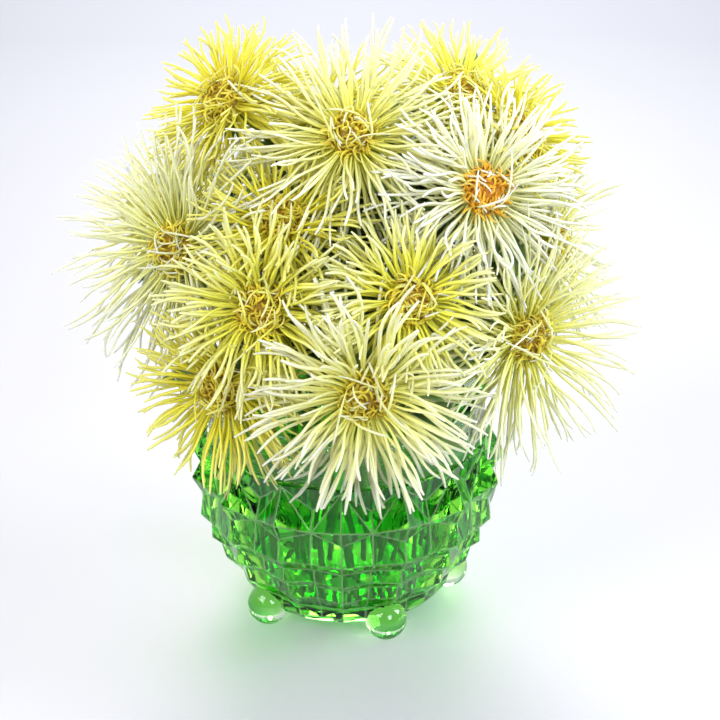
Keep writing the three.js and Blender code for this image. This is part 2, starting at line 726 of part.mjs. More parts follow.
// Grows the rays of all heads circle by circle, so that neighbours share the room between them.
function growRays(heads, room, random) {
  for (const head of heads) {
    const rings = RECEPTACLE.map(([radius, z], i) => ring(SPOKES, radius, z, i % 2 ? 0.5 : 0));
    head.bands = [0, 1, 2].map((i) => bandFacets(rings[i], rings[i + 1], i % 2 === 0));
    head.triangles = [];
    for (let k = 1; k + 1 < SPOKES; k++) {
      const top = rings[3];
      head.triangles.push([rings[0][0], rings[0][k + 1], rings[0][k]], [top[0], top[k], top[k + 1]]);
    }
    head.grown = new Set();
  }
  for (const circle of RAY_CIRCLES) {
    for (let k = 0; k < SPOKES; k += circle.every) {
      for (const head of heads) {
        const facet = head.bands[circle.band][2 * k + circle.parity];
        const centre = facet[0].clone().add(facet[1]).add(facet[2]).divideScalar(3);
        const base = head.reach * circle.share * (0.93 + 0.1 * random()) - Math.hypot(centre.x, centre.y);
        const start = circle.elevation + (random() - 0.5) * 2 * circle.spread;
        const bend = (random() - 0.35) * 0.1;
        for (let attempt = 0; attempt < 26; attempt++) {
          const wander = attempt / 26;
          const elevation = start + (random() - 0.4) * 46 * wander;
          const turn = (random() - 0.5) * (8 + 22 * wander);
          const length = base * (1 - 0.35 * Math.max(0, wander - 0.3));
          const line = quillLine(rayCurve(centre, elevation, turn, length, bend), circle.joints);
          const capsules = quillCapsules(head.frame, line, RAY_RADIUS);
          if (!takeQuill(room, capsules, head.name, head.name + " rays")) continue;
          head.triangles.push(...quillTriangles(facet, line, RAY_RADIUS));
          head.grown.add(facet);
          break;
        }
      }
    }
  }
  for (const head of heads) {
    for (const facet of head.bands.flat()) if (!head.grown.has(facet)) head.triangles.push(facet);
  }
}

// The bunch.
const random = randomSource(20);
const room = new Room();
const heads = ASTERS.map((aster, i) => {
  const name = "aster_" + String(i + 1).padStart(2, "0");
  const frame = headFrame(aster, random() * 2 * Math.PI);
  const low = frame.localToWorld(vec(0, 0, -1));
  const high = frame.localToWorld(vec(0, 0, 8));
  room.take(low, high, 12.5, name);
  return { name, frame, ...aster };
});

const order = [...heads].sort((a, b) => a.at[2] - b.at[2]);
for (const head of order) {
  head.line = findStem(room, head.frame, head.name, random);
  const points = stemPoints(head.line);
  for (let i = 0; i + 1 < points.length; i++) {
    room.take(points[i], points[i + 1], STEM_RADIUS + 0.2, head.name + " stem");
  }
  const roots = ring(BRACTS.count, CUP.radius, CUP.waist);
  const tips = ring(BRACTS.count, BRACTS.reach, BRACTS.droop);
  roots.forEach((root, k) => {
    const middle = root.clone().lerp(tips[k], 0.45);
    const [a, b, c] = [root, middle, tips[k]].map((p) => head.frame.localToWorld(p));
    room.take(a, b, 3, head.name + " bracts");
    room.take(b, c, 1.8, head.name + " bracts");
  });
}

for (const head of heads) {
  head.leaf = findLeaf(room, head, random);
  for (const [a, b] of head.leaf?.lines ?? []) room.take(a, b, 1.8, head.name + " leaf");
}

for (const head of heads) head.discTriangles = discTriangles(head.frame, room, head.name, random);
growRays(heads, room, random);

// The water: what the vase holds up to the collar, with a plain hole for each stem.
function waterGeometry() {
  let water = solidOf(hollowGeometry(SEAT, WATER_TOP));
  for (const { line } of heads) {
    const mouth = line.curve.getPoint(0);
    const along = mouth.clone().sub(line.foot).normalize();
    const low = line.foot.clone().addScaledVector(along, -3);
    const high = mouth.clone().addScaledVector(along, 2);
    const rings = [low, high].map((point) =>
      ringAcross(point, along, vec(1, 0, 0), STEM_RADIUS + HOLE_CLEARANCE, STEM_SIDES),
    );
    water = water.subtract(solidOf(geometryOf(skin(rings))));
  }
  return geometryFromSolid(water);
}

// The pieces as meshes.
const glass = new THREE.MeshStandardMaterial({ color: 0x2f9a3a, roughness: 0.05, metalness: 0 });
const clearWater = new THREE.MeshStandardMaterial({ color: 0xdfeee6, roughness: 0.02, metalness: 0 });
const green = new THREE.MeshStandardMaterial({ color: LEAF_GREEN, roughness: 0.6, metalness: 0 });
const discGold = new THREE.MeshStandardMaterial({ color: 0xd9a93c, roughness: 0.7, metalness: 0 });

function piece(name, geometry, material) {
  const mesh = new THREE.Mesh(geometry, material);
  mesh.name = name;
  return mesh;
}

const bunch = new THREE.Group();
bunch.add(piece("vase", vaseGeometry(), glass));
bunch.add(piece("water", waterGeometry(), clearWater));

for (const head of heads) {
  const stem = geometryOf(stemTriangles(head.frame, head.line, head.leaf));
  bunch.add(piece(head.name + "_stem", stem, green));

  const petals = new THREE.MeshStandardMaterial({ color: COLOURS[head.colour], roughness: 0.6, metalness: 0 });
  const flower = new THREE.Group();
  flower.position.copy(head.frame.position);
  flower.quaternion.copy(head.frame.quaternion);
  flower.add(piece(head.name + "_rays", geometryOf(head.triangles), petals));
  flower.add(piece(head.name + "_disc", geometryOf(head.discTriangles), discGold));
  bunch.add(flower);
}

// The origin lies on the table, under the middle of the box round the whole bunch.
const extent = new THREE.Box3().setFromObject(bunch, true);
const middle = extent.getCenter(vec(0, 0, 0));
bunch.position.set(-middle.x, -middle.y, 0);
const asterInVase = new THREE.Group();
asterInVase.add(bunch);

export default asterInVase;
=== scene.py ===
import math
import random

import bmesh
import bpy
import numpy as np
from mathutils import Matrix, Vector
from mathutils.geometry import interpolate_bezier


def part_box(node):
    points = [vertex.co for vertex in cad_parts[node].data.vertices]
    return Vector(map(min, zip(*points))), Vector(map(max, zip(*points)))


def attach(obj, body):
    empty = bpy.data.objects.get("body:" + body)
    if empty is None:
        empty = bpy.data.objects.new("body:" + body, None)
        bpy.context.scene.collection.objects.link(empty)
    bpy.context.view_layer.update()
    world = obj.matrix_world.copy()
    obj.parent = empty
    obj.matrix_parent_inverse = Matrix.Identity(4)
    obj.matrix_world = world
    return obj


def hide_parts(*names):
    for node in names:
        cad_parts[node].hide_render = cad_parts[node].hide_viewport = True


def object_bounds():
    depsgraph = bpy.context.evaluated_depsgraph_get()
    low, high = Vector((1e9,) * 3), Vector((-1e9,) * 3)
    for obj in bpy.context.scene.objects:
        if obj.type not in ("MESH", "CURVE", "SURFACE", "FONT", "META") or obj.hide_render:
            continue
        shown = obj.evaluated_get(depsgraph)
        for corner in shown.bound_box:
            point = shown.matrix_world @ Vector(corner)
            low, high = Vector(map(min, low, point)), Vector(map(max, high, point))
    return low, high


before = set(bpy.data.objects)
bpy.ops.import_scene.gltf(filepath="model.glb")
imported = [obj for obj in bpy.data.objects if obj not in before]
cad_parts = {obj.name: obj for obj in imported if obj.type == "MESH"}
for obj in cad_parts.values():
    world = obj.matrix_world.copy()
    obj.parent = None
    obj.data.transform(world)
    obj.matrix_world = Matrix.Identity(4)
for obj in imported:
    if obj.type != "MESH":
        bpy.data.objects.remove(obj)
cad_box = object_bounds()
MM = 0.001  # sizes are in millimetres and angles in degrees, where nothing else is said

# The camera stands in front of the vase and looks a little down on it, from about a metre off.
# It is placed from the vase's own axis, which is the middle of the water that fills it.
CAMERA = {"place": (6.5, -1026, 611), "looks_down": 25.18, "lens": 114.8, "sensor": 36, "nearest": 50}


def new_object(name, data):
    """An object with that mesh, camera or light, in the scene."""
    made = bpy.data.objects.new(name, data)
    bpy.context.collection.objects.link(made)
    return made


water_low, water_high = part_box("water")
vase_axis = Vector(((water_low.x + water_high.x) / 2, (water_low.y + water_high.y) / 2, 0))
camera = new_object("camera", bpy.data.cameras.new("camera"))
camera.location = vase_axis + Vector(CAMERA["place"]) * MM
camera.rotation_euler = (math.radians(90 - CAMERA["looks_down"]), 0, 0)
camera.data.lens = CAMERA["lens"]
camera.data.sensor_width = CAMERA["sensor"]
camera.data.clip_start = CAMERA["nearest"] * MM
bpy.context.scene.camera = camera

# The vase is one piece of pressed green glass. Fifteen cut cells stand round it, each a kite over
# a point, with bands of facets under them. The neck is plain and finely ribbed, the inside is
# smooth, and five balls under the rim of the base are its feet.
CELLS = 15
RIDGE_AZIMUTH = -1.8  # of the ridge nearest the front
FACET_LEVELS = [  # (radius, height) of a ridge and of a valley, from the base up
    [(44.5, 6), (44.5, 6)],
    [(50.2, 8.2), (50, 8.2)],
    [(53, 11.4), (52, 11.4)],
    [(55, 18.5), (53, 18.5)],
    [(63.6, 27), (59, 26.6)],
    [(65.9, 35.3), (61.8, 35)],
    [(70.6, 39.5), (65.2, 39)],
    [(70.6, 47.2), (66.2, 46.8)],
    [(76, 53.5), (73, 53.2)],
    [(74.6, 65.3), (71.4, 69.8)],
    [(80, 75), (71.4, 69.8)],
    [(71, 92), (67.8, 80.5)],
    [(71, 92), (69.4, 92)],
]
FLAT_ANGLE = 0.8  # triangles that meet at less than this are one facet
# The strip along the facet edges, in the slot of a painted highlight: its width, the angle that an edge needs
# for one, and which edges have it.
EDGE = {"painted_light": 0.45, "least_angle": 5, "upright": 5, "level": 1.5, "all_above": 50}
PAINTED_HIGHLIGHT_SLOT = 1
NECK_FOOT = [(60, 60), (60, 90), (68.7, 92.6)]  # inside the body, where the neck grows from it
NECK = [(69, 94), (68.4, 112), (69.8, 116.4)]  # radius, height
RIB = {"depth": 0.13, "pitch": 1.6, "fades": 6}
LIP = {"top": 118, "outer": 69.8, "inner": 63.5, "round": 1.6}
FLOOR = [(20, 11), (34, 11), (38.5, 11.4)]
CAVITY = [(40, 11), (50, 20), (58, 45), (62, 75), (63.5, 94), (63.5, 116.4)]
CAVITY_STEP = 6
ABOVE_LIP = 124
ROUND_SIDES = 120
FOOT = {"count": 5, "radius": 10.5, "height": 9.2, "ring": 51.5, "azimuth": 22, "columns": 40, "rows": 24}


def around(radius, azimuth, height):
    """A point round the vase's axis: millimetres, and degrees from the front."""
    turn = math.radians(azimuth)
    return vase_axis + Vector((radius * math.sin(turn), -radius * math.cos(turn), height)) * MM


def mesh_of(name, bm):
    """A mesh made of the bmesh, with all its faces turned outward. The bmesh is freed."""
    bmesh.ops.recalc_face_normals(bm, faces=bm.faces)
    mesh = bpy.data.meshes.new(name)
    bm.to_mesh(mesh)
    bm.free()
    return mesh


def closed_skin(bm, rings):
    """Smooth faces from ring to ring, and a flat one at both ends."""
    for low, high in zip(rings, rings[1:]):
        for k in range(len(low)):
            after = (k + 1) % len(low)
            bm.faces.new((low[k], low[after], high[after], high[k])).smooth = True
    bm.faces.new(rings[0][::-1])
    bm.faces.new(rings[-1])


def turned_piece(name, profile, sides):
    """A closed turned solid round the vase's axis, from its profile, lowest point first."""
    bm = bmesh.new()
    rings = [[bm.verts.new(around(r, 360 * k / sides, z)) for k in range(sides)] for r, z in profile]
    closed_skin(bm, rings)
    return new_object(name, mesh_of(name, bm))


def along_profile(points, spacing):
    """The profile's points, with more put between them so that none are further apart."""
    made = [points[0]]
    for (r0, z0), (r1, z1) in zip(points, points[1:]):
        steps = max(1, math.ceil(math.hypot(r1 - r0, z1 - z0) / spacing))
        made += [(r0 + (r1 - r0) * i / steps, z0 + (z1 - z0) * i / steps) for i in range(1, steps + 1)]
    return made


def applied(piece):
    """The piece with its modifiers made real."""
    made = bpy.data.meshes.new_from_object(piece.evaluated_get(bpy.context.evaluated_depsgraph_get()))
    piece.modifiers.clear()
    piece.data = made
    return piece


def lies_along_cell(edge):
    """Whether an edge of the facets runs level or upright, or is one of the upper kites' slants."""
    one, other = (v.co - vase_axis for v in edge.verts)
    upright = one.xy.angle(other.xy) < math.radians(EDGE["upright"])
    level = abs(one.z - other.z) < EDGE["level"] * MM
    return upright or level or max(one.z, other.z) > EDGE["all_above"] * MM


def facet_bodies():
    """The cut body below the neck, solid, with a rounded strip along its edges that carries a painted
    highlight.
    """
    bm = bmesh.new()
    columns = 2 * CELLS
    rings = []
    for ridge, valley in FACET_LEVELS:
        ring = []
        for k in range(columns):
            radius, height = valley if k % 2 else ridge
            ring.append(bm.verts.new(around(radius, RIDGE_AZIMUTH + 180 * k / CELLS, height)))
        rings.append(ring)
    for low, high in zip(rings, rings[1:]):
        for k in range(columns):
            a, b, c, d = low[k], low[(k + 1) % columns], high[(k + 1) % columns], high[k]
            for corners in [(a, b, d), (b, c, d)] if k % 2 == 0 else [(a, b, c), (a, c, d)]:
                bm.faces.new(corners)
    bm.faces.new(rings[0][::-1])
    bmesh.ops.remove_doubles(bm, verts=bm.verts, dist=1e-6)
    bmesh.ops.dissolve_limit(bm, angle_limit=math.radians(FLAT_ANGLE), verts=bm.verts, edges=bm.edges)
    least = math.radians(EDGE["least_angle"])
    creases = [
        e for e in bm.edges if len(e.link_faces) == 2 and e.calc_face_angle(0) > least and lies_along_cell(e)
    ]
    bmesh.ops.bevel(
        bm,
        geom=creases,
        offset=EDGE["painted_light"] * MM,
        segments=2,
        affect="EDGES",
        profile=0.6,
        clamp_overlap=True,
        material=PAINTED_HIGHLIGHT_SLOT,
    )
    bmesh.ops.holes_fill(bm, edges=[e for e in bm.edges if e.is_boundary])
    return bm


def lip_round(radius, inward):
    """The round of the lip from its side, at that radius, to its top. Inward is 1 outside and -1 inside."""
    turns = [math.radians(15 * i) for i in range(1, 7)]
    return [
        (radius - inward * LIP["round"] * (1 - math.cos(a)), LIP["top"] - LIP["round"] * (1 - math.sin(a)))
        for a in turns
    ]


ribbed = [
    (r + RIB["depth"] * math.sin(2 * math.pi * z / RIB["pitch"]) * min(1, (LIP["top"] - z) / RIB["fades"]), z)
    for r, z in along_profile(NECK, 0.4)
]
neck = turned_piece("neck", [*NECK_FOOT, *ribbed, *lip_round(LIP["outer"], 1)], ROUND_SIDES)
vase = new_object("cut_glass_vase", mesh_of("cut_glass_vase", facet_bodies()))
vase.data.materials.append(None)
vase.data.materials.append(None)

feet_bm = bmesh.new()
for k in range(FOOT["count"]):
    place = around(FOOT["ring"], FOOT["azimuth"] + 360 * k / FOOT["count"], FOOT["height"])
    ball = bmesh.ops.create_uvsphere(
        feet_bm,
        u_segments=FOOT["columns"],
        v_segments=FOOT["rows"],
        radius=FOOT["radius"] * MM,
        matrix=Matrix.Translation(place),
    )
    for v in ball["verts"]:
        v.co.z = max(0.0, v.co.z)
bmesh.ops.dissolve_degenerate(feet_bm, dist=1e-7, edges=feet_bm.edges)
for face in feet_bm.faces:
    face.smooth = face.calc_center_median().z > 0.2 * MM
feet = new_object("feet", mesh_of("feet", feet_bm))

wall_inside = along_profile(CAVITY, CAVITY_STEP)[1:]
lip_inner = lip_round(LIP["inner"], -1)
cavity = turned_piece(
    "cavity", [*FLOOR, *wall_inside, *lip_inner, (lip_inner[-1][0], ABOVE_LIP)], ROUND_SIDES
)
for tool, work in [(neck, "UNION"), (feet, "UNION"), (cavity, "DIFFERENCE")]:
    cut = vase.modifiers.new(tool.name, "BOOLEAN")
    cut.operation = work
    cut.object = tool
    cut.solver = "EXACT"
    applied(vase)
    bpy.data.objects.remove(tool)


def put(tree, kind, inputs=None, **settings):
    """A node in a tree, with its settings, and its inputs set or linked by name or number."""
    node = tree.nodes.new(kind)
    for name, value in settings.items():
        setattr(node, name, value)
    for key, value in (inputs or {}).items():
        if isinstance(value, bpy.types.NodeSocket):
            tree.links.new(value, node.inputs[key])
        else:
            node.inputs[key].default_value = value
    return node


def finish_named(name, inputs):
    """A new material, its node tree and its Principled shader, with those inputs set."""
    made = bpy.data.materials.new(name)
    made.use_nodes = True
    shader = made.node_tree.nodes["Principled BSDF"]
    for key, value in inputs.items():
        shader.inputs[key].default_value = value
    return made, made.node_tree, shader


def place_in(tree):
    """The place on the piece that is being shaded."""
    return put(tree, "ShaderNodeTexCoord").outputs["Object"]


def mapped(tree, value, **ends):
    """A value moved from one span to another. An end that isn't given is 0 or 1."""
    inputs = {key.replace("_", " ").title(): end for key, end in ends.items()}
    return put(tree, "ShaderNodeMapRange", {"Value": value, **inputs}).outputs[0]


def ramp(tree, value, *stops):
    """A colour that changes with a value: each stop is a position and its colour, lowest first."""
    node = put(tree, "ShaderNodeValToRGB", {0: value})
    elements = node.color_ramp.elements
    elements[0].position, elements[1].position = stops[0][0], stops[-1][0]
    elements[0].color, elements[1].color = (*stops[0][1], 1), (*stops[-1][1], 1)
    for position, colour in stops[1:-1]:
        elements.new(position).color = (*colour, 1)
    return node.outputs[0]


def xyz_of(tree, vector):
    """The three parts of a place or of a direction."""
    return put(tree, "ShaderNodeSeparateXYZ", {0: vector}).outputs


def noise_in(tree, scale, detail):
    """Soft noise over the piece, from 0 to 1."""
    inputs = {"Vector": place_in(tree), "Scale": scale, "Detail": detail}
    return put(tree, "ShaderNodeTexNoise", inputs).outputs[0]


def let_light_through(tree, shader, tint):
    """Shadow rays pass through the glass or water with its tint, so that it throws a clear shade."""
    passing = put(tree, "ShaderNodeBsdfTransparent", {"Color": (*tint, 1)}).outputs[0]
    path = put(tree, "ShaderNodeLightPath").outputs["Is Shadow Ray"]
    mixed = put(tree, "ShaderNodeMixShader", {0: path, 1: shader.outputs[0], 2: passing}).outputs[0]
    tree.links.new(mixed, tree.nodes["Material Output"].inputs["Surface"])


def grain_group():
    """A node group for the fine unevenness of a skin or a face: its grain, and the normal it gives."""
    tree = bpy.data.node_groups.new("fine grain", "ShaderNodeTree")
    face = tree.interface
    for name, start in [("Scale", 60), ("Detail", 3), ("Strength", 0.3), ("Distance", 0.0003), ("Raised", 0)]:
        face.new_socket(name, in_out="INPUT", socket_type="NodeSocketFloat").default_value = start
    face.new_socket("Grain", in_out="OUTPUT", socket_type="NodeSocketFloat")
    face.new_socket("Normal", in_out="OUTPUT", socket_type="NodeSocketVector")
    given = tree.nodes.new("NodeGroupInput").outputs
    noise = noise_in(tree, given["Scale"], given["Detail"])
    height = put(tree, "ShaderNodeMath", {0: noise, 1: given["Raised"]}, operation="ADD").outputs[0]
    relief = {"Strength": given["Strength"], "Distance": given["Distance"], "Height": height}
    bump = put(tree, "ShaderNodeBump", relief).outputs[0]
    put(tree, "NodeGroupOutput", {"Grain": noise, "Normal": bump})
    return tree


def grained(tree, shader, scale, detail, strength, distance, raised=0.0):
    """Places the grain in a material, gives its normal to the shader, and returns the grain."""
    inputs = {"Scale": scale, "Detail": detail, "Strength": strength, "Distance": distance, "Raised": raised}
    made = put(tree, "ShaderNodeGroup", inputs, node_tree=fine_grain)
    tree.links.new(made.outputs["Normal"], shader.inputs["Normal"])
    return made.outputs["Grain"]


CLEAR_FOOT = (0.93, 0.99, 0.88)
DEEP_GREEN = (0.46, 0.97, 0.14)
CLEAR_NECK = (0.92, 0.97, 0.90)
# the pale green of the painted highlight on the facet edges
PAINTED_HIGHLIGHT_GREEN = (0.58, 0.96, 0.40)
fine_grain = grain_group()
green_glass, tree, shader = finish_named("pressed green glass", {"Transmission Weight": 1, "IOR": 1.5})
height = xyz_of(tree, place_in(tree))["Z"]
depth = ramp(
    tree,
    mapped(tree, height, from_max=0.1),
    (0.06, CLEAR_FOOT),
    (0.13, DEEP_GREEN),
    (0.86, DEEP_GREEN),
    (0.94, CLEAR_NECK),
)
tree.links.new(depth, shader.inputs["Base Color"])
swirl = grained(tree, shader, scale=60, detail=3, strength=0.05, distance=0.0004)
tree.links.new(mapped(tree, swirl, to_max=0.008), shader.inputs["Roughness"])
body_colour = put(tree, "ShaderNodeVolumeAbsorption", {"Color": (0.22, 0.94, 0.0, 1), "Density": 12})
tree.links.new(body_colour.outputs[0], tree.nodes["Material Output"].inputs["Volume"])
let_light_through(tree, shader, (0.91, 0.98, 0.89))
# The strips along the facet edges are painted as pale green, less clear glass: a painted highlight where the
# edges catch the light.
painted_highlight_edge = green_glass.copy()
painted_highlight_edge.name = "painted highlight on the glass edges"
edge_shader = painted_highlight_edge.node_tree.nodes["Principled BSDF"]
for name, value in [("Base Color", (*PAINTED_HIGHLIGHT_GREEN, 1)), ("Roughness", 0.2), ("Transmission Weight", 0.8)]:
    for link in list(edge_shader.inputs[name].links):
        painted_highlight_edge.node_tree.links.remove(link)
    edge_shader.inputs[name].default_value = value
vase.data.materials[0] = green_glass
vase.data.materials[PAINTED_HIGHLIGHT_SLOT] = painted_highlight_edge
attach(vase, "root")
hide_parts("vase")

# The water stands in the vase to a little below the lip, and climbs where it meets the glass. It
# is drawn a fifth of a millimetre into the wall, so that no film of air shows between the two.
WATER_TOP = 103
WATER_SIDES = 96
INTO_WALL = 0.2
WATER_FLOOR = [(20, 10.8), (38.7, 11.2)]
MENISCUS = [(63.7, 0.9), (63.2, 0.55), (62.4, 0.2), (60.5, 0), (30, 0)]  # radius, height above the water
wetted = [(r + INTO_WALL, z) for r, z in wall_inside if z < WATER_TOP - 1]
surface = [(r, WATER_TOP + rise) for r, rise in MENISCUS]
water = turned_piece("still_water", [*WATER_FLOOR, *wetted, *surface], WATER_SIDES)
clear_water, tree, shader = finish_named(
    "clear water", {"Base Color": (0.95, 0.99, 0.96, 1), "Transmission Weight": 1, "IOR": 1.15}
)
sway = grained(tree, shader, scale=25, detail=1, strength=0.04, distance=0.0005)
tree.links.new(mapped(tree, sway, to_max=0.006), shader.inputs["Roughness"])
let_light_through(tree, shader, (0.99, 1, 0.99))
water.data.materials.append(clear_water)
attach(water, "root")
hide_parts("water")

# Each aster has a ribbed green stem, a cup with a collar of narrow bracts under its head, a toothed
# leaf, and small leaves near the head. They grow as one piece. The stem goes where the solid stem
# goes: its rings of five corners give the line.
ASTERS = [  # middle of the face from the vase's axis, azimuth and elevation that it faces, reach, colour
    [(-63, 26, 258), (-52, 40), 47, "gold"],
    [(2, -4, 250), (-6, 46), 66, "cream"],
    [(60, 34, 258), (40, 50), 47, "yellow"],
    [(67, -26, 228), (24, 24), 56, "cream"],
    [(-86, -12, 194), (-36, 16), 70, "pale"],
    [(-31, -26, 218), (-8, 64), 49, "gold"],
    [(-40, -62, 183), (-4, 20), 52, "yellow"],
    [(31, -62, 188), (12, 26), 49, "yellow"],
    [(90, -37, 156), (36, 4), 68, "pale"],
    [(-63, -54, 136), (-30, -4), 53, "gold"],
    [(9, -84, 147), (4, 4), 60, "cream"],
    [(109, 20, 184), (74, 10), 52, "pale"],
    [(88, 20, 242), (58, 38), 44, "gold"],
    [(-94, 58, 186), (-124, 14), 54, "cream"],
    [(-10, 66, 240), (-172, 46), 56, "yellow"],
    [(46, 94, 198), (158, 18), 56, "cream"],
    [(-38, 102, 168), (-160, 4), 54, "pale"],
    [(80, 72, 142), (128, -4), 52, "yellow"],
]
HEAD_DEPTH = 10  # from the face's middle back to the middle of the head
# What is known of the solid stem and its leaf, by which its rings and the leaf's tip are found.
SOLID_STEM = {"radius": 1.9, "leaf_rings": 3.2, "leaf_root": 4, "leaf_out": 1.5, "tip_above": 0.4}
TIP_SEARCH = {"reach": 2.2, "off_stem": 6, "off_head": 20, "rounds": 12}
STEM = {"foot": 2.0, "taper": 0.25, "sides": 15, "ribs": 0.05, "step": 4, "points": 9}
CUP = [(-15, 1.9), (-12.6, 2.8), (-10.6, 5.2), (-9.4, 6.4), (-7, 6.6), (-4.6, 5.4)]  # height, radius
COLLAR = {"count": 18, "out": 4.6, "height": -8.6, "stagger": 1.4}
BRACT = {"length": 12, "half": 1.5, "thick": 0.4, "steps": 7, "halves": 1}
LEAF = {"length": 52, "half": 11, "fold": 0.22, "sag": 9, "teeth": 7, "thick": 0.55, "steps": 42, "halves": 6}
UPPER_LEAF = {"length": 42, "half": 6.2, "fold": 0.3, "thick": 0.45, "steps": 9, "halves": 2}
UPPER_LEAVES = {"most": 24, "lowest": 128, "turn": 2.4, "lean": 0.5, "out": 1.2}  # turn in radians
CLEAR_OF_BLOOMS = {"behind": 2, "beside": 46}  # of the middle of every head
LEAF_SLOT = 1


def head_matrix(at, faces):
    """From the head's own frame, +Z along its axis and X level, to the part's frame."""
    turn, rise = map(math.radians, faces)
    z = Vector((math.sin(turn) * math.cos(rise), -math.cos(turn) * math.cos(rise), math.sin(rise)))
    x = Vector((0, 0, 1)).cross(z).normalized()
    y = z.cross(x)
    made = Matrix((x, y, z)).transposed().to_4x4()
    made.translation = vase_axis + Vector(at) * MM - z * HEAD_DEPTH * MM
    return made


def growing_frame(pointing, along, foot):
    """The frame of a leaf: +X towards its tip, and +Z as near to the stem's direction as it can be."""
    normal = (along - pointing * along.dot(pointing)).normalized()
    made = Matrix((pointing, normal.cross(pointing), normal)).transposed().to_4x4()
    made.translation = foot
    return made


def stem_rings(bm):
    """The middles of the solid stem's rings: five corners joined by edges of one known length."""
    side = 2 * SOLID_STEM["radius"] * MM * math.sin(math.pi / 5)
    joined = {}
    for e in bm.edges:
        if abs(e.calc_length() - side) < 0.02 * MM:
            one, other = e.verts
            joined.setdefault(one, []).append(other)
            joined.setdefault(other, []).append(one)
    for stray in [v for v, others in joined.items() if len(others) == 1]:
        joined[joined.pop(stray).pop()].remove(stray)
    middles = []
    seen = set()
    for start in joined:
        if start in seen:
            continue
        group = [start]
        seen.add(start)
        for v in group:
            for other in joined[v]:
                if other not in seen:
                    seen.add(other)
                    group.append(other)
        if len(group) == 5:
            middles.append(sum((v.co for v in group), Vector()) / 5)
    return middles


def stem_line(head, rings):
    """The points of a smooth line from the stem's foot, through its rings, to the cup."""
    chain = [head @ Vector((0, 0, CUP[0][0] * MM))]
    waiting = list(rings)
    while waiting:
        step = min(waiting, key=lambda p: (p - chain[-1]).length)
        waiting.remove(step)
        if (step - chain[-1]).length > STEM["step"] * MM:
            chain.append(step)
    line = []
    for i in range(len(chain) - 1):
        before, after = chain[max(i - 1, 0)], chain[min(i + 2, len(chain) - 1)]
        a, b = chain[i], chain[i + 1]
        hold = (b - a).length / 3
        leave = (b - before).normalized() if i else head.to_3x3() @ Vector((0, 0, -1))
        arrive = (after - a).normalized()
        points = interpolate_bezier(a, a + leave * hold, b - arrive * hold, b, STEM["points"])
        line += points if i == 0 else points[1:]
    return line[::-1]


def tube(bm, line, radii, sides, ribs=0):
    """A ribbed tube along a line of points, closed at both ends."""
    rings = []
    across = None
    for i, point in enumerate(line):
        along = (line[min(i + 1, len(line) - 1)] - line[max(i - 1, 0)]).normalized()
        across = along.orthogonal() if across is None else across - along * across.dot(along)
        across.normalize()
        other = along.cross(across)
        ring = []
        for k in range(sides):
            a = 2 * math.pi * k / sides
            radius = radii[i] * MM * (1 + ribs * math.cos(5 * a))
            ring.append(bm.verts.new(point + (across * math.cos(a) + other * math.sin(a)) * radius))
        rings.append(ring)
    closed_skin(bm, rings)


def on_axis(head, profile):
    """The points on a head's axis at the heights of a profile, and its radii."""
    return [head @ Vector((0, 0, z * MM)) for z, _ in profile], [r for _, r in profile]


def blade(bm, matrix, shape, sizes):
    """A leaf's blade: shape(t, s) is the place of share t of its length, s from -1 to 1 across."""
    uv = bm.loops.layers.uv.verify()
    steps, halves = sizes["steps"], sizes["halves"]
    width = 2 * halves
    grids = []
    for lift in (Vector(), Vector((0, 0, -sizes["thick"]))):
        rows = [[shape(i / steps, j / halves) for j in range(-halves, halves + 1)] for i in range(steps + 1)]
        grids.append([[bm.verts.new(matrix @ ((place + lift) * MM)) for place in row] for row in rows])
    top, under = grids
    faces = []
    for i in range(steps):
        for j in range(width):
            corners = [(i, j), (i + 1, j), (i + 1, j + 1), (i, j + 1)]
            faces.append(([top[a][b] for a, b in corners], corners))
            faces.append(([under[a][b] for a, b in corners[::-1]], corners[::-1]))
    edge = [(i, 0) for i in range(steps + 1)] + [(steps, j) for j in range(1, width + 1)]
    edge += [(i, width) for i in range(steps - 1, -1, -1)] + [(0, j) for j in range(width - 1, 0, -1)]
    for (a, b), (c, d) in zip(edge, edge[1:] + edge[:1]):
        faces.append(([top[a][b], under[a][b], under[c][d], top[c][d]], [(a, b), (a, b), (c, d), (c, d)]))
    for corners, cells in faces:
        face = bm.faces.new(corners)
        face.smooth = True
        face.material_index = LEAF_SLOT
        for loop, (i, j) in zip(face.loops, cells):
            loop[uv].uv = (i / steps, j / width)


def leaf_shape(t, s):
    """The blade of the leaf: cut into coarse teeth, folded along its midrib, and hanging over."""
    belly = math.sin(math.pi * min(1, t) ** 0.75)
    saw = (t * LEAF["teeth"]) % 1
    tooth = 0.72 + 0.5 * (saw if saw < 0.72 else (1 - saw) * 2.57)
    half = 0.5 + LEAF["half"] * belly * (1 + (tooth - 0.95) * abs(s) ** 2)
    y = s * half
    wave = 0.7 * math.sin(9 * t + 2 * s) * abs(s)
    height = abs(y) * LEAF["fold"] - LEAF["sag"] * t * t + wave
    return Vector((LEAF["length"] * t + abs(s) * 2.5 * belly, y, height))


def bract_shape(t, s):
    """The blade of a bract: narrow, hollow above, and bent down at its tip."""
    half = BRACT["half"] * math.sin(math.pi * (0.12 + 0.88 * t) ** 0.8) + 0.12
    return Vector((BRACT["length"] * t, s * half, 0.25 * abs(s) * half - 3.2 * t * t + 1.6 * t))


def upper_leaf_shape(t, s):
    """The blade of a small leaf near the head: a lance with a waved edge."""
    waved = 1 + 0.14 * math.sin(22 * t) * abs(s)
    half = 0.3 + UPPER_LEAF["half"] * math.sin(math.pi * min(1, t) ** 0.8) * waved
    height = UPPER_LEAF["fold"] * abs(s) * half + 3 * t - 11 * t * t
    return Vector((UPPER_LEAF["length"] * t, s * half, height))


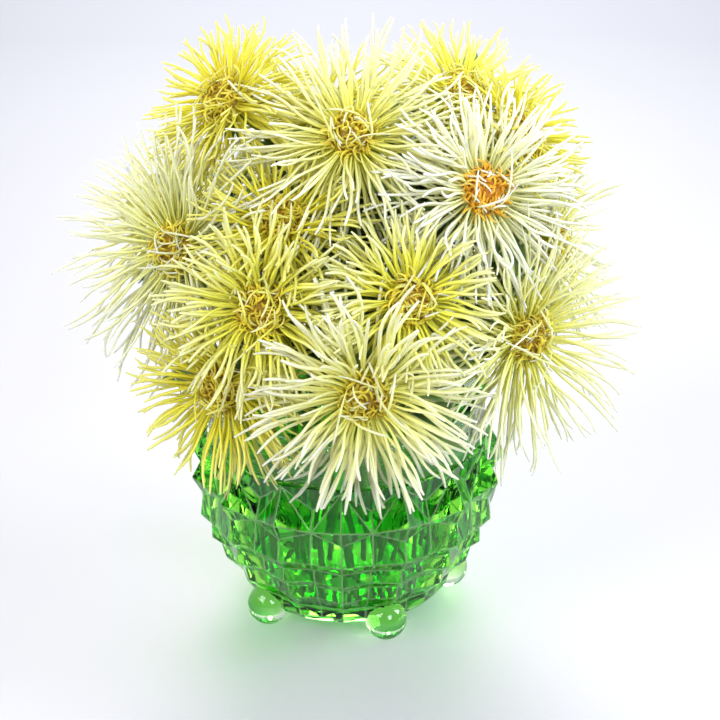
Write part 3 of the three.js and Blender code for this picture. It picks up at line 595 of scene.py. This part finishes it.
def leaf_matrix(bm, line, rings, head):
    """The frame of the solid leaf: its foot is between two close rings, and its tip is known."""
    low, high = next(
        (a, b) for i, a in enumerate(rings) for b in rings[i + 1:]
        if abs((a - b).length - SOLID_STEM["leaf_rings"] * MM) < 0.1 * MM
    )
    middle = (low + high) / 2
    nearest = min(range(1, len(line) - 1), key=lambda i: (line[i] - middle).length)
    along = (high - low).normalized()
    if along.dot(line[nearest + 1] - line[nearest - 1]) < 0:
        along = -along
    reach = math.hypot(SOLID_STEM["leaf_root"] + LEAF["length"], LEAF["sag"]) * MM
    far = [
        v.co for v in bm.verts
        if abs((v.co - middle).length - reach) < TIP_SEARCH["reach"] * MM
        and min((v.co - p).length for p in line) > TIP_SEARCH["off_stem"] * MM
        and (v.co - head.translation).length > TIP_SEARCH["off_head"] * MM
    ]
    tip = sum(far, Vector()) / len(far)
    pointing = (tip - middle).normalized()
    for _ in range(TIP_SEARCH["rounds"]):
        normal = (along - pointing * along.dot(pointing)).normalized()
        out = (pointing - along * pointing.dot(along)).normalized()
        foot = middle + out * SOLID_STEM["leaf_out"] * MM
        pointing = (tip - foot + normal * (LEAF["sag"] + SOLID_STEM["tip_above"]) * MM).normalized()
    return growing_frame(pointing, along, foot + pointing * MM)


def add_bracts(bm, head, number):
    """The collar of bracts round the cup, each turned and bent a little by chance."""
    luck = random.Random(number)
    for k in range(COLLAR["count"]):
        turn = Matrix.Rotation(2 * math.pi * (k + 0.4 * luck.random()) / COLLAR["count"], 4, "Z")
        dip = Matrix.Rotation(math.radians(8 + 26 * luck.random()) * (1 if k % 2 else 0.4), 4, "Y")
        root = Vector((COLLAR["out"], 0, COLLAR["height"] + COLLAR["stagger"] * (k % 2))) * MM
        blade(bm, head @ turn @ Matrix.Translation(root) @ dip, bract_shape, BRACT)


def add_upper_leaves(bm, line, number):
    """Small leaves down the stem from its head, where they come in front of no bloom."""
    for k in range(UPPER_LEAVES["most"]):
        at_step = max(3, len(line) - 3 - k)
        point, along = line[at_step], (line[at_step] - line[at_step - 1]).normalized()
        if point.z < UPPER_LEAVES["lowest"] * MM:
            break
        turn = Matrix.Rotation(UPPER_LEAVES["turn"] * k + number, 3, along)
        out = turn @ along.orthogonal().normalized()
        pointing = (out + along * UPPER_LEAVES["lean"]).normalized()
        twig = growing_frame(pointing, along, point + out * UPPER_LEAVES["out"] * MM)
        middle_and_tip = [upper_leaf_shape(t, 0) * MM for t in (0.5, 1)]
        at_heads = [other.inverted() @ twig @ place for other in heads for place in middle_and_tip]
        behind, beside = CLEAR_OF_BLOOMS["behind"] * MM, CLEAR_OF_BLOOMS["beside"] * MM
        if all(place.z < -behind or place.xy.length > beside for place in at_heads):
            blade(bm, twig, upper_leaf_shape, UPPER_LEAF)


def sums_in(tree):
    """The two ways to write sums in a tree: each gives the socket with the result."""

    def sum_of(operation, a, b=0.0, c=0.0):
        return put(tree, "ShaderNodeMath", {0: a, 1: b, 2: c}, operation=operation).outputs[0]

    def times(a, b, plus=None):
        if plus is None:
            return sum_of("MULTIPLY", a, b)
        return sum_of("MULTIPLY_ADD", a, b, plus)

    return sum_of, times


def mixed_colour(tree, share, one, other):
    """A colour between two colours: share 0 is the one, and 1 the other."""
    return put(tree, "ShaderNodeMix", {0: share, 6: one, 7: other}, data_type="RGBA").outputs[2]


def scaled(tree, vector, by):
    """A colour or a vector, times a number."""
    return put(tree, "ShaderNodeVectorMath", {0: vector, "Scale": by}, operation="SCALE").outputs[0]


leaf_green, tree, shader = finish_named("leaf green", {"Roughness": 0.55, "Sheen Weight": 0.15})
sum_of, times = sums_in(tree)
uv = xyz_of(tree, put(tree, "ShaderNodeUVMap", uv_map="UVMap").outputs[0])
off_midrib = sum_of("ABSOLUTE", sum_of("SUBTRACT", uv["Y"], 0.5))
slanted = times(off_midrib, -0.45, uv["X"])
saw = sum_of("PINGPONG", times(slanted, 9.0), 1.0)
rib = mapped(tree, saw, from_max=0.14, to_min=1, to_max=0)
midrib = mapped(tree, off_midrib, from_max=0.03, to_min=1, to_max=0)
veins = sum_of("MAXIMUM", rib, midrib)
blotches = noise_in(tree, scale=90, detail=4)
green = ramp(tree, blotches, (0.3, (0.020, 0.060, 0.012)), (0.75, (0.065, 0.16, 0.028)))
veined = mixed_colour(tree, veins, green, (0.16, 0.28, 0.07, 1))
tree.links.new(veined, shader.inputs["Base Color"])
grained(tree, shader, scale=1400, detail=2, strength=0.5, distance=0.0004, raised=times(veins, 0.6))

stem_green, tree, shader = finish_named("stem green", {"Roughness": 0.6, "Sheen Weight": 0.3})
blotches = noise_in(tree, scale=60, detail=5)
green = ramp(tree, blotches, (0.3, (0.10, 0.24, 0.035)), (0.8, (0.28, 0.48, 0.08)))
height = xyz_of(tree, place_in(tree))["Z"]
# Painted light: the stems are painted about twice as light in the water and just above it as higher up, for
# the light that reaches them through the green glass.
painted_light_in_water = mapped(tree, height, from_min=0.1, from_max=0.14, to_min=1, to_max=0.45)
tree.links.new(scaled(tree, green, painted_light_in_water), shader.inputs["Base Color"])
grained(tree, shader, scale=1800, detail=2, strength=0.5, distance=0.0003)

heads = [head_matrix(at, faces) for at, faces, reach, colour in ASTERS]
for number, head in enumerate(heads, 1):
    node = f"aster_{number:02d}_stem"
    solid = bmesh.new()
    solid.from_mesh(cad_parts[node].data)
    bmesh.ops.transform(solid, matrix=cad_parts[node].matrix_world, verts=solid.verts)
    bmesh.ops.remove_doubles(solid, verts=solid.verts, dist=2e-6)
    rings = stem_rings(solid)
    line = stem_line(head, rings)
    widths = [STEM["foot"] - STEM["taper"] * i / (len(line) - 1) for i in range(len(line))]
    cup_line, cup_radii = on_axis(head, CUP[1:])
    made = bmesh.new()
    made.loops.layers.uv.verify()
    tube(made, line + cup_line, widths + cup_radii, STEM["sides"], STEM["ribs"])
    blade(made, leaf_matrix(solid, line, rings, head), leaf_shape, LEAF)
    add_bracts(made, head, number)
    add_upper_leaves(made, line, number)
    solid.free()
    stem = new_object(f"stem_and_leaf_{number:02d}", mesh_of(f"stem_and_leaf_{number:02d}", made))
    stem.data.materials.append(stem_green)
    stem.data.materials.append(leaf_green)
    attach(stem, "root")
    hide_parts(node)

# The rays are quills: each is a petal rolled into a tube as wide as a straw of grass, blunt at its
# tip. They stand in close circles all round the head, the lower ones bent back, the upper ones in.
RAYS = {"count": 205, "width": 0.8, "droop": -22, "crown": 38, "points": 15, "sides": 6, "seed_step": 20}
SHORTER_BY = 8  # a quill is that much shorter than its head's reach
RAY_ROOT = {"radius": 9.2, "lowest": -3.5, "rise": 9.5}
CROSSING = 0.915  # the rays past this share of the count lie over the disc
GOLDEN_TURN = 2.39996  # radians from one quill to the next
HANG = 0.07  # how far a tip hangs down, as a share of its quill's length
RAY_LUCK = {  # how the rays differ: least, most and number of the draw, with the angles in radians
    "turn": (-0.16, 0.16, 2),
    "rise": (-0.13, 0.13, 3),
    "length": (0.80, 1.06, 4),
    "tone": (0.0, 1.0, 5),
    "curl": (-0.65, 0.25, 6),
    "bend": (-0.46, 0.46, 7),
    "kink": (-0.045, 0.045, 8),
    "crossing rise": (0.5, 1.3, 9),
    "crossing length": (-0.58, -0.15, 10),
    "crossing curl": (0.9, 2.4, 11),
    "hook": (-1.0, 1.0, 12),
    "slim": (0.82, 1.12, 13),
}
RAY_GIRTH = [(0, 0.5), (0.15, 0.7), (0.4, 0.95), (0.75, 0.94), (0.95, 0.8), (1, 0.5)]  # along its length


def growing_tree(name, draws, **kinds):
    """A Geometry Nodes tree with its inputs, and the ways to write its sums, draws and attributes."""
    tree = bpy.data.node_groups.new(name, "GeometryNodeTree")
    for label, kind in {"Count": "Int", "Seed": "Int", "Finish": "Material", **kinds}.items():
        tree.interface.new_socket(label, in_out="INPUT", socket_type="NodeSocket" + kind)
    tree.interface.new_socket("Geometry", in_out="OUTPUT", socket_type="NodeSocketGeometry")
    given = tree.nodes.new("NodeGroupInput").outputs
    sum_of, times = sums_in(tree)

    def luck(draw):
        low, high, salt = draws[draw]
        seed = sum_of("ADD", given["Seed"], salt)
        return put(tree, "FunctionNodeRandomValue", {2: low, 3: high, "Seed": seed}).outputs[1]

    def named(label):
        return put(tree, "GeometryNodeInputNamedAttribute", {"Name": label}).outputs["Attribute"]

    def store(geometry, **values):
        for label, value in values.items():
            inputs = {"Geometry": geometry, "Name": label, "Value": value}
            geometry = put(tree, "GeometryNodeStoreNamedAttribute", inputs).outputs[0]
        return geometry

    return tree, given, sum_of, times, luck, named, store


def straws_on(tree, points, count):
    """A straight curve of that many points on each point, and the share of its length."""
    straw = put(tree, "GeometryNodeCurvePrimitiveLine", {"End": (0, 0, 1)}).outputs[0]
    straw = put(tree, "GeometryNodeResampleCurve", {"Curve": straw, "Count": count}).outputs[0]
    placed = put(tree, "GeometryNodeInstanceOnPoints", {"Points": points, "Instance": straw}).outputs[0]
    curves = put(tree, "GeometryNodeRealizeInstances", {0: placed}).outputs[0]
    return curves, put(tree, "GeometryNodeSplineParameter").outputs["Factor"]


def moved(tree, geometry, place):
    """The geometry with its points put in that place."""
    return put(tree, "GeometryNodeSetPosition", {"Geometry": geometry, "Position": place}).outputs[0]


def ring_of(tree, sides):
    """A closed curve with that many sides and a radius of 1, which becomes the quills' form."""
    inputs = {"Resolution": sides, "Radius": 1.0}
    return put(tree, "GeometryNodeCurvePrimitiveCircle", inputs).outputs[0]


def finished(tree, curves, ring, girth, material):
    """Ends a tree: the curves get the ring's form and girth, and the material."""
    inputs = {"Curve": curves, "Profile Curve": ring, "Scale": girth, "Fill Caps": True}
    mesh = put(tree, "GeometryNodeCurveToMesh", inputs).outputs[0]
    mesh = put(tree, "GeometryNodeSetShadeSmooth", {"Geometry": mesh}).outputs[0]
    mesh = put(tree, "GeometryNodeRealizeInstances", {0: mesh}).outputs[0]
    mesh = put(tree, "GeometryNodeSetMaterial", {"Geometry": mesh, "Material": material}).outputs[0]
    put(tree, "NodeGroupOutput", {0: mesh})
    return tree


def ray_tree():
    """Geometry Nodes for the quills of one head, in the head's own frame."""
    tree, given, sum_of, times, luck, named, store = growing_tree(
        "quilled rays", RAY_LUCK, Reach="Float", Width="Float", Droop="Float", Crown="Float", Hang="Vector"
    )
    index = put(tree, "GeometryNodeInputIndex").outputs[0]
    share = sum_of("DIVIDE", index, given["Count"])
    crossing = sum_of("GREATER_THAN", share, CROSSING)
    height = sum_of("SUBTRACT", given["Crown"], given["Droop"])
    rise = times(share, height, sum_of("ADD", given["Droop"], luck("rise")))
    shorter = times(sum_of("POWER", share, 2.2), -0.3, 1.0)
    shorter = times(crossing, luck("crossing length"), shorter)
    curl = times(share, 0.5, luck("curl"))
    wander = times(crossing, 4.0, 1.0)
    points = store(
        put(tree, "GeometryNodePoints", {"Count": given["Count"]}).outputs[0],
        turn=times(index, GOLDEN_TURN, luck("turn")),
        rise=times(crossing, luck("crossing rise"), rise),
        length=times(times(shorter, given["Reach"]), luck("length")),
        level=share,
        tone=luck("tone"),
        curl=times(crossing, luck("crossing curl"), curl),
        bend=times(luck("bend"), wander),
        kink=luck("kink"),
        slim=times(crossing, -0.35, luck("slim")),
        hook=sum_of("POWER", luck("hook"), 3.0),
    )
    curves, t = straws_on(tree, points, RAYS["points"])
    t_square = times(t, t)
    half_square = times(t_square, 0.5)
    start_rise, end_rise = named("rise"), sum_of("ADD", named("rise"), named("curl"))

    def swept(function):
        first, last = sum_of(function, start_rise), sum_of(function, end_rise)
        turned = times(sum_of("SUBTRACT", last, first), half_square)
        return times(first, t, turned)

    past_bend = sum_of("MAXIMUM", sum_of("SUBTRACT", t, 0.8), 0.0)
    hook = times(times(named("hook"), 3.0), times(past_bend, past_bend))
    out = times(swept("COSINE"), named("length"), RAY_ROOT["radius"] * MM)
    foot = times(named("level"), RAY_ROOT["rise"] * MM, RAY_ROOT["lowest"] * MM)
    up = times(sum_of("ADD", swept("SINE"), hook), named("length"), foot)
    sway = times(named("bend"), half_square)
    ess = times(sum_of("SINE", times(t, 6.283)), named("kink"))
    aside = times(sum_of("ADD", sway, ess), named("length"))
    cos, sin = sum_of("COSINE", named("turn")), sum_of("SINE", named("turn"))
    x = sum_of("SUBTRACT", times(out, cos), times(aside, sin))
    y = sum_of("ADD", times(out, sin), times(aside, cos))
    place = put(tree, "ShaderNodeCombineXYZ", {0: x, 1: y, 2: up}).outputs[0]
    hang = scaled(tree, given["Hang"], times(t_square, named("length")))
    place = put(tree, "ShaderNodeVectorMath", {0: place, 1: hang}, operation="ADD").outputs[0]
    curves = moved(tree, curves, place)
    curves = put(tree, "GeometryNodeSetCurveNormal", {"Curve": curves}, mode="Z_UP").outputs[0]
    curves = store(curves, along=t)

    girth = put(tree, "ShaderNodeFloatCurve", {"Value": t})
    form = girth.mapping.curves[0].points
    form[0].location, form[1].location = RAY_GIRTH[0], RAY_GIRTH[-1]
    for at_share, wide in RAY_GIRTH[1:-1]:
        form.new(at_share, wide)
    girth.mapping.update()
    width = times(times(girth.outputs[0], given["Width"]), named("slim"))
    way_round = put(tree, "GeometryNodeSplineParameter").outputs["Factor"]
    ring = store(ring_of(tree, RAYS["sides"]), around=way_round)
    flat = xyz_of(tree, put(tree, "GeometryNodeInputPosition").outputs[0])
    groove = times(times(flat[0], flat[0]), 0.3)
    low = times(flat[1], 0.62, groove)
    squashed = put(tree, "ShaderNodeCombineXYZ", {0: flat[0], 1: low}).outputs[0]
    return finished(tree, curves, moved(tree, ring, squashed), width, given["Finish"])


def grown(name, tree, **inputs):
    """A plain mesh piece from a tree of Geometry Nodes, its inputs set by name."""
    made = new_object(name, bpy.data.meshes.new(name))
    modifier = made.modifiers.new(tree.name, "NODES")
    modifier.node_group = tree
    for socket in tree.interface.items_tree:
        if socket.in_out == "INPUT" and socket.name in inputs:
            modifier[socket.identifier] = inputs[socket.name]
    return applied(made)


def read_back(tree, name):
    """An attribute that the growing tree stored on the quills."""
    return put(tree, "ShaderNodeAttribute", attribute_name=name).outputs["Fac"]


def along_quill(tree, root, middle, tip):
    """The colour along a quill: at its root, on the way and at its tip."""
    return ramp(tree, read_back(tree, "along"), (0, root), (0.4, middle), (1, tip))


def toned(tree, shader, colour, grain, share, most, darkest, palest):
    """Gives the shader the colour, darker or paler with the quill's own tone and a share of the grain."""
    _, times = sums_in(tree)
    mixed = times(grain, share, read_back(tree, "tone"))
    shade = mapped(tree, mixed, from_max=most, to_min=darkest, to_max=palest)
    tree.links.new(scaled(tree, colour, shade), shader.inputs["Base Color"])


PETAL_COLOURS = {  # at the root, along the ray, and at the tip
    "white": [(0.76, 0.73, 0.14), (0.90, 0.90, 0.62), (0.92, 0.92, 0.86)],
    "cream": [(0.74, 0.68, 0.01), (0.88, 0.86, 0.33), (0.90, 0.90, 0.72)],
    "pale": [(0.68, 0.66, 0.04), (0.80, 0.81, 0.42), (0.81, 0.82, 0.70)],
    "yellow": [(0.70, 0.63, 0.0), (0.86, 0.82, 0.09), (0.91, 0.90, 0.50)],
    "gold": [(0.62, 0.52, 0.0), (0.78, 0.70, 0.02), (0.85, 0.81, 0.24)],
}
PETAL_SKIN = {
    "Roughness": 0.55,
    "Subsurface Weight": 0.5,
    "Subsurface Radius": (1.0, 0.85, 0.25),
    "Subsurface Scale": 0.003,
    "Sheen Weight": 0.1,
}
petals = {}
for colour, (root, middle, tip) in PETAL_COLOURS.items():
    petals[colour], tree, shader = finish_named(colour + " petal", PETAL_SKIN)
    sum_of, times = sums_in(tree)
    around_quill = read_back(tree, "around")
    streaks = sum_of("SINE", times(around_quill, 44.0))
    raised = times(streaks, 0.25)
    grain = grained(tree, shader, scale=240, detail=3, strength=0.35, distance=0.0002, raised=raised)
    # Painted shade: the two sides of each quill are painted towards its root colour, as the shade along its
    # rolled edges.
    across = sum_of("COSINE", times(around_quill, 2 * math.pi))
    edge = times(sum_of("POWER", across, 4.0), 0.4)
    with_painted_edge_shade = mixed_colour(tree, edge, along_quill(tree, root, middle, tip), (*root, 1))
    toned(tree, shader, with_painted_edge_shade, grain, share=0.35, most=1.3, darkest=0.82, palest=1.08)

SOLID_VASE = [  # height and radius of the ridges of the solid vase
    *[(7, 50.2), (27, 63.2), (39.5, 70.3), (53.5, 75.3), (75, 80)],
    *[(92, 71), (112, 68.4), (118, 69.8), (124, 60)],
]
VASE_ROOM = {"gap": 1.6, "top": 119, "inner": 40}
RECEPTACLE = [(-5, 5.2), (-4.4, 7.4), (-1.5, 10), (2.5, 10.8), (5.2, 9.4), (6.6, 6)]  # height, radius
CORE_SIDES = 24
HEAD_ROOM = 13  # no quill comes this near to the middle of another head
OTHER_RAYS = {4: "white", 9: "cream"}  # bloom 4 has white rays; bloom 9 has the lighter cream rays, painted light for the window light that falls on it
BROADER_RAYS = {11: 1.18}  # the nearest bloom
straw_corners = RAYS["points"] * RAYS["sides"]
rays_of_head = ray_tree()


def clear_of_glass(points):
    """Moves the points of the quills that would be in the glass out to lie on it."""
    flat = points[:, :2] - np.array(vase_axis[:2])
    distance = np.linalg.norm(flat, axis=1)
    heights, radii = zip(*SOLID_VASE)
    wall = np.interp(points[:, 2] / MM, heights, radii) * MM + VASE_ROOM["gap"] * MM
    low = points[:, 2] < VASE_ROOM["top"] * MM
    inside = low & (distance < wall) & (distance > VASE_ROOM["inner"] * MM)
    scale = np.where(inside, wall / np.maximum(distance, 1e-6), 1.0)
    points[:, :2] += flat * (scale - 1)[:, None]
    return points


def within_reach(quill_points):
    """Shortens the quills that would stand out past the room that the flowers take up."""
    roots = quill_points[:, :RAYS["sides"]].mean(axis=1, keepdims=True)
    runs = quill_points - roots
    share = np.ones(runs.shape)
    for corner, sign in [(cad_box[0], -1), (cad_box[1], 1)]:
        room = np.maximum((np.array(corner) - roots) * sign, 1e-6)
        share = np.minimum(share, room / np.maximum(runs * sign, 1e-6))
    return roots + runs * share.min(axis=(1, 2), keepdims=True)


def in_another_head(number, quill_points):
    """Which quills of a head would pass through the middle of another one."""
    spoiled = np.zeros(len(quill_points), bool)
    for other, place in enumerate(heads, 1):
        if other != number:
            near = np.linalg.norm(quill_points - np.array(place.translation), axis=2).min(axis=1)
            spoiled |= near < HEAD_ROOM * MM
    return spoiled


for number, (at, faces, reach, colour) in enumerate(ASTERS, 1):
    head = heads[number - 1]
    finish = petals[OTHER_RAYS.get(number, colour)]
    rays = grown(
        f"quilled_rays_{number:02d}",
        rays_of_head,
        Count=RAYS["count"],
        Reach=(reach - SHORTER_BY) * MM,
        Width=RAYS["width"] * BROADER_RAYS.get(number, 1) * MM,
        Droop=math.radians(RAYS["droop"]),
        Crown=math.radians(RAYS["crown"]),
        Hang=head.to_3x3().inverted() @ Vector((0, 0, -1)) * HANG,
        Seed=number * RAYS["seed_step"],
        Finish=finish,
    )
    rays.data.transform(head)
    points = np.empty(len(rays.data.vertices) * 3)
    rays.data.vertices.foreach_get("co", points)
    points = clear_of_glass(within_reach(points.reshape(-1, straw_corners, 3)).reshape(-1, 3))
    rays.data.vertices.foreach_set("co", points.ravel())
    spoiled = np.nonzero(in_another_head(number, points.reshape(-1, straw_corners, 3)))[0]
    bunch = bmesh.new()
    bunch.from_mesh(rays.data)
    bunch.verts.ensure_lookup_table()
    lost = [bunch.verts[int(i) * straw_corners + k] for i in spoiled for k in range(straw_corners)]
    bmesh.ops.delete(bunch, geom=lost, context="VERTS")
    tube(bunch, *on_axis(head, RECEPTACLE), CORE_SIDES)
    rays.data = mesh_of(rays.name, bunch)
    rays.data.materials.append(finish)
    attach(rays, "root")
    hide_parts(f"aster_{number:02d}_rays")

# The disc in the middle of a head is a low dome of short gold quills, curled in over one another,
# browner towards the root of each quill.
DISC = {"count": 110, "radius": 11.4, "base": 4.2, "height": 4.4, "points": 8, "sides": 5, "seed_step": 30}
DISC_GIRTH = {"root": 0.55, "tip_loses": 0.3}
DISC_LUCK = {  # least, most and number of the draw, with the lengths in metres and angles in radians
    "turn": (-0.3, 0.3, 1),
    "length": (0.0040, 0.0072, 2),
    "curl": (1.2, 3.2, 3),
    "tone": (0.0, 1.0, 4),
    "aim": (-2.4, 2.4, 5),
}


def disc_tree():
    """Geometry Nodes for the short curled quills on the dome of one disc."""
    tree, given, sum_of, times, luck, named, store = growing_tree(
        "disc quills", DISC_LUCK, Radius="Float", Base="Float", Height="Float"
    )
    index = put(tree, "GeometryNodeInputIndex").outputs[0]
    share = sum_of("SQRT", sum_of("DIVIDE", sum_of("ADD", index, 0.5), given["Count"]))
    points = store(
        put(tree, "GeometryNodePoints", {"Count": given["Count"]}).outputs[0],
        turn=times(index, GOLDEN_TURN, luck("turn")),
        share=share,
        length=times(share, 0.0022, luck("length")),
        curl=luck("curl"),
        tone=luck("tone"),
        aim=luck("aim"),
    )
    curves, t = straws_on(tree, points, DISC["points"])
    bent = times(t, named("curl"), 0.2)
    run = times(t, named("length"))
    off = times(sum_of("SINE", bent), run)
    out = times(named("share"), given["Radius"])
    dome = sum_of("SUBTRACT", 1.0, times(named("share"), named("share")))
    foot = times(dome, given["Height"], given["Base"])
    up = times(sum_of("COSINE", bent), run, foot)
    turn = named("turn")
    aim = sum_of("ADD", times(times(t, t), 0.9, turn), named("aim"))
    x = times(out, sum_of("COSINE", turn), times(off, sum_of("COSINE", aim)))
    y = times(out, sum_of("SINE", turn), times(off, sum_of("SINE", aim)))
    place = put(tree, "ShaderNodeCombineXYZ", {0: x, 1: y, 2: up}).outputs[0]
    curves = store(moved(tree, curves, place), along=t)
    root, loses = DISC_GIRTH["root"] * MM, DISC_GIRTH["tip_loses"] * MM
    girth = times(sum_of("POWER", t, 5.0), -loses, root)
    return finished(tree, curves, ring_of(tree, DISC["sides"]), girth, given["Finish"])


DISC_COLOURS = {  # at the root, along the quill, and at its tip
    "gold": [(0.42, 0.24, 0.0), (0.84, 0.70, 0.04), (0.94, 0.91, 0.36)],
    "orange": [(0.70, 0.27, 0.0), (0.93, 0.53, 0.02), (0.95, 0.78, 0.28)],
}
disc_finishes = {}
for colour, (root, middle, tip) in DISC_COLOURS.items():
    disc_finishes[colour], tree, shader = finish_named("disc " + colour, {"Roughness": 0.6})
    grain = grained(tree, shader, scale=500, detail=3, strength=0.4, distance=0.0002)
    quill_colour = along_quill(tree, root, middle, tip)
    toned(tree, shader, quill_colour, grain, share=0.5, most=1.4, darkest=0.6, palest=1.15)
ORANGE_DISC = 4  # the disc of this bloom is more orange than the others'
DOME = [(2, 10.4), (4.6, 10.2), (7, 7.4), (8.6, 3)]  # height, radius of what the quills stand on
florets = disc_tree()
for number, head in enumerate(heads, 1):
    finish = disc_finishes["orange" if number == ORANGE_DISC else "gold"]
    disc = grown(
        f"disc_{number:02d}",
        florets,
        Count=DISC["count"],
        Radius=DISC["radius"] * MM,
        Base=DISC["base"] * MM,
        Height=DISC["height"] * MM,
        Seed=number * DISC["seed_step"],
        Finish=finish,
    )
    disc.data.transform(head)
    dome = bmesh.new()
    dome.from_mesh(disc.data)
    tube(dome, *on_axis(head, DOME), CORE_SIDES)
    disc.data = mesh_of(disc.name, dome)
    disc.data.materials.append(finish)
    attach(disc, "root")
    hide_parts(f"aster_{number:02d}_disc")

# The vase stands on a plain pale table, under soft daylight from windows behind it and on both
# sides. The table, the daylight and the lamps are no pieces of the part. They are in metres.
TABLE_HALF = 3
# The table's colour goes from the near tint to the far one, about half as light: painted shade that grows
# towards the back.
NEAR_TINT = (0.49, 0.48, 0.505)
FAR_TINT = (0.25, 0.255, 0.285)
ROOM_TINT = (0.12, 0.125, 0.14)
SKY_TINT = (0.88, 0.90, 0.98)
SKY_STRENGTH = 0.8
table_bm = bmesh.new()
bmesh.ops.create_grid(table_bm, x_segments=2, y_segments=2, size=TABLE_HALF)
table_top = new_object("table_top", mesh_of("table_top", table_bm))
pale, tree, shader = finish_named("pale table", {"Roughness": 0.6})
away = mapped(tree, xyz_of(tree, place_in(tree))["Y"], from_min=-0.3, from_max=1.0)
sum_of, times = sums_in(tree)
# Painted shade towards the back, with a little uneven tone from the noise.
painted_light = times(noise_in(tree, scale=4, detail=2), 0.1, away)
tree.links.new(ramp(tree, painted_light, (0, NEAR_TINT), (1, FAR_TINT)), shader.inputs["Base Color"])
table_top.data.materials.append(pale)

sky = bpy.data.worlds.new("soft daylight")
sky.use_nodes = True
tree = sky.node_tree
toward = xyz_of(tree, put(tree, "ShaderNodeTexCoord").outputs["Generated"])["Y"]
walls = ramp(tree, mapped(tree, toward, from_min=-1), (0.1, ROOM_TINT), (0.7, SKY_TINT))
tree.links.new(walls, tree.nodes["Background"].inputs["Color"])
tree.nodes["Background"].inputs["Strength"].default_value = SKY_STRENGTH
bpy.context.scene.world = sky
LAMPS = [  # name, place, size, watts and colour
    ("window left", (-0.85, -0.75, 1.1), 0.8, 16.5, (1, 0.99, 0.97)),
    ("window behind", (0.0, 1.4, 1.0), 0.9, 36, (1, 0.99, 0.98)),
    ("window front", (0.5, -1.1, 0.8), 0.5, 10, (0.85, 0.93, 1)),
    ("window right", (1.3, 0.1, 0.9), 0.6, 18, (0.90, 0.96, 1)),
]
LAMPS_AIM = Vector((0, 0, 0.15))
for name, place, size, power, colour in LAMPS:
    lamp = new_object(name, bpy.data.lights.new(name, "AREA"))
    lamp.data.size = size
    lamp.data.energy = power
    lamp.data.color = colour
    lamp.location = place
    lamp.rotation_euler = (LAMPS_AIM - lamp.location).to_track_quat("-Z", "Y").to_euler()
bpy.context.scene.view_settings.view_transform = "Standard"
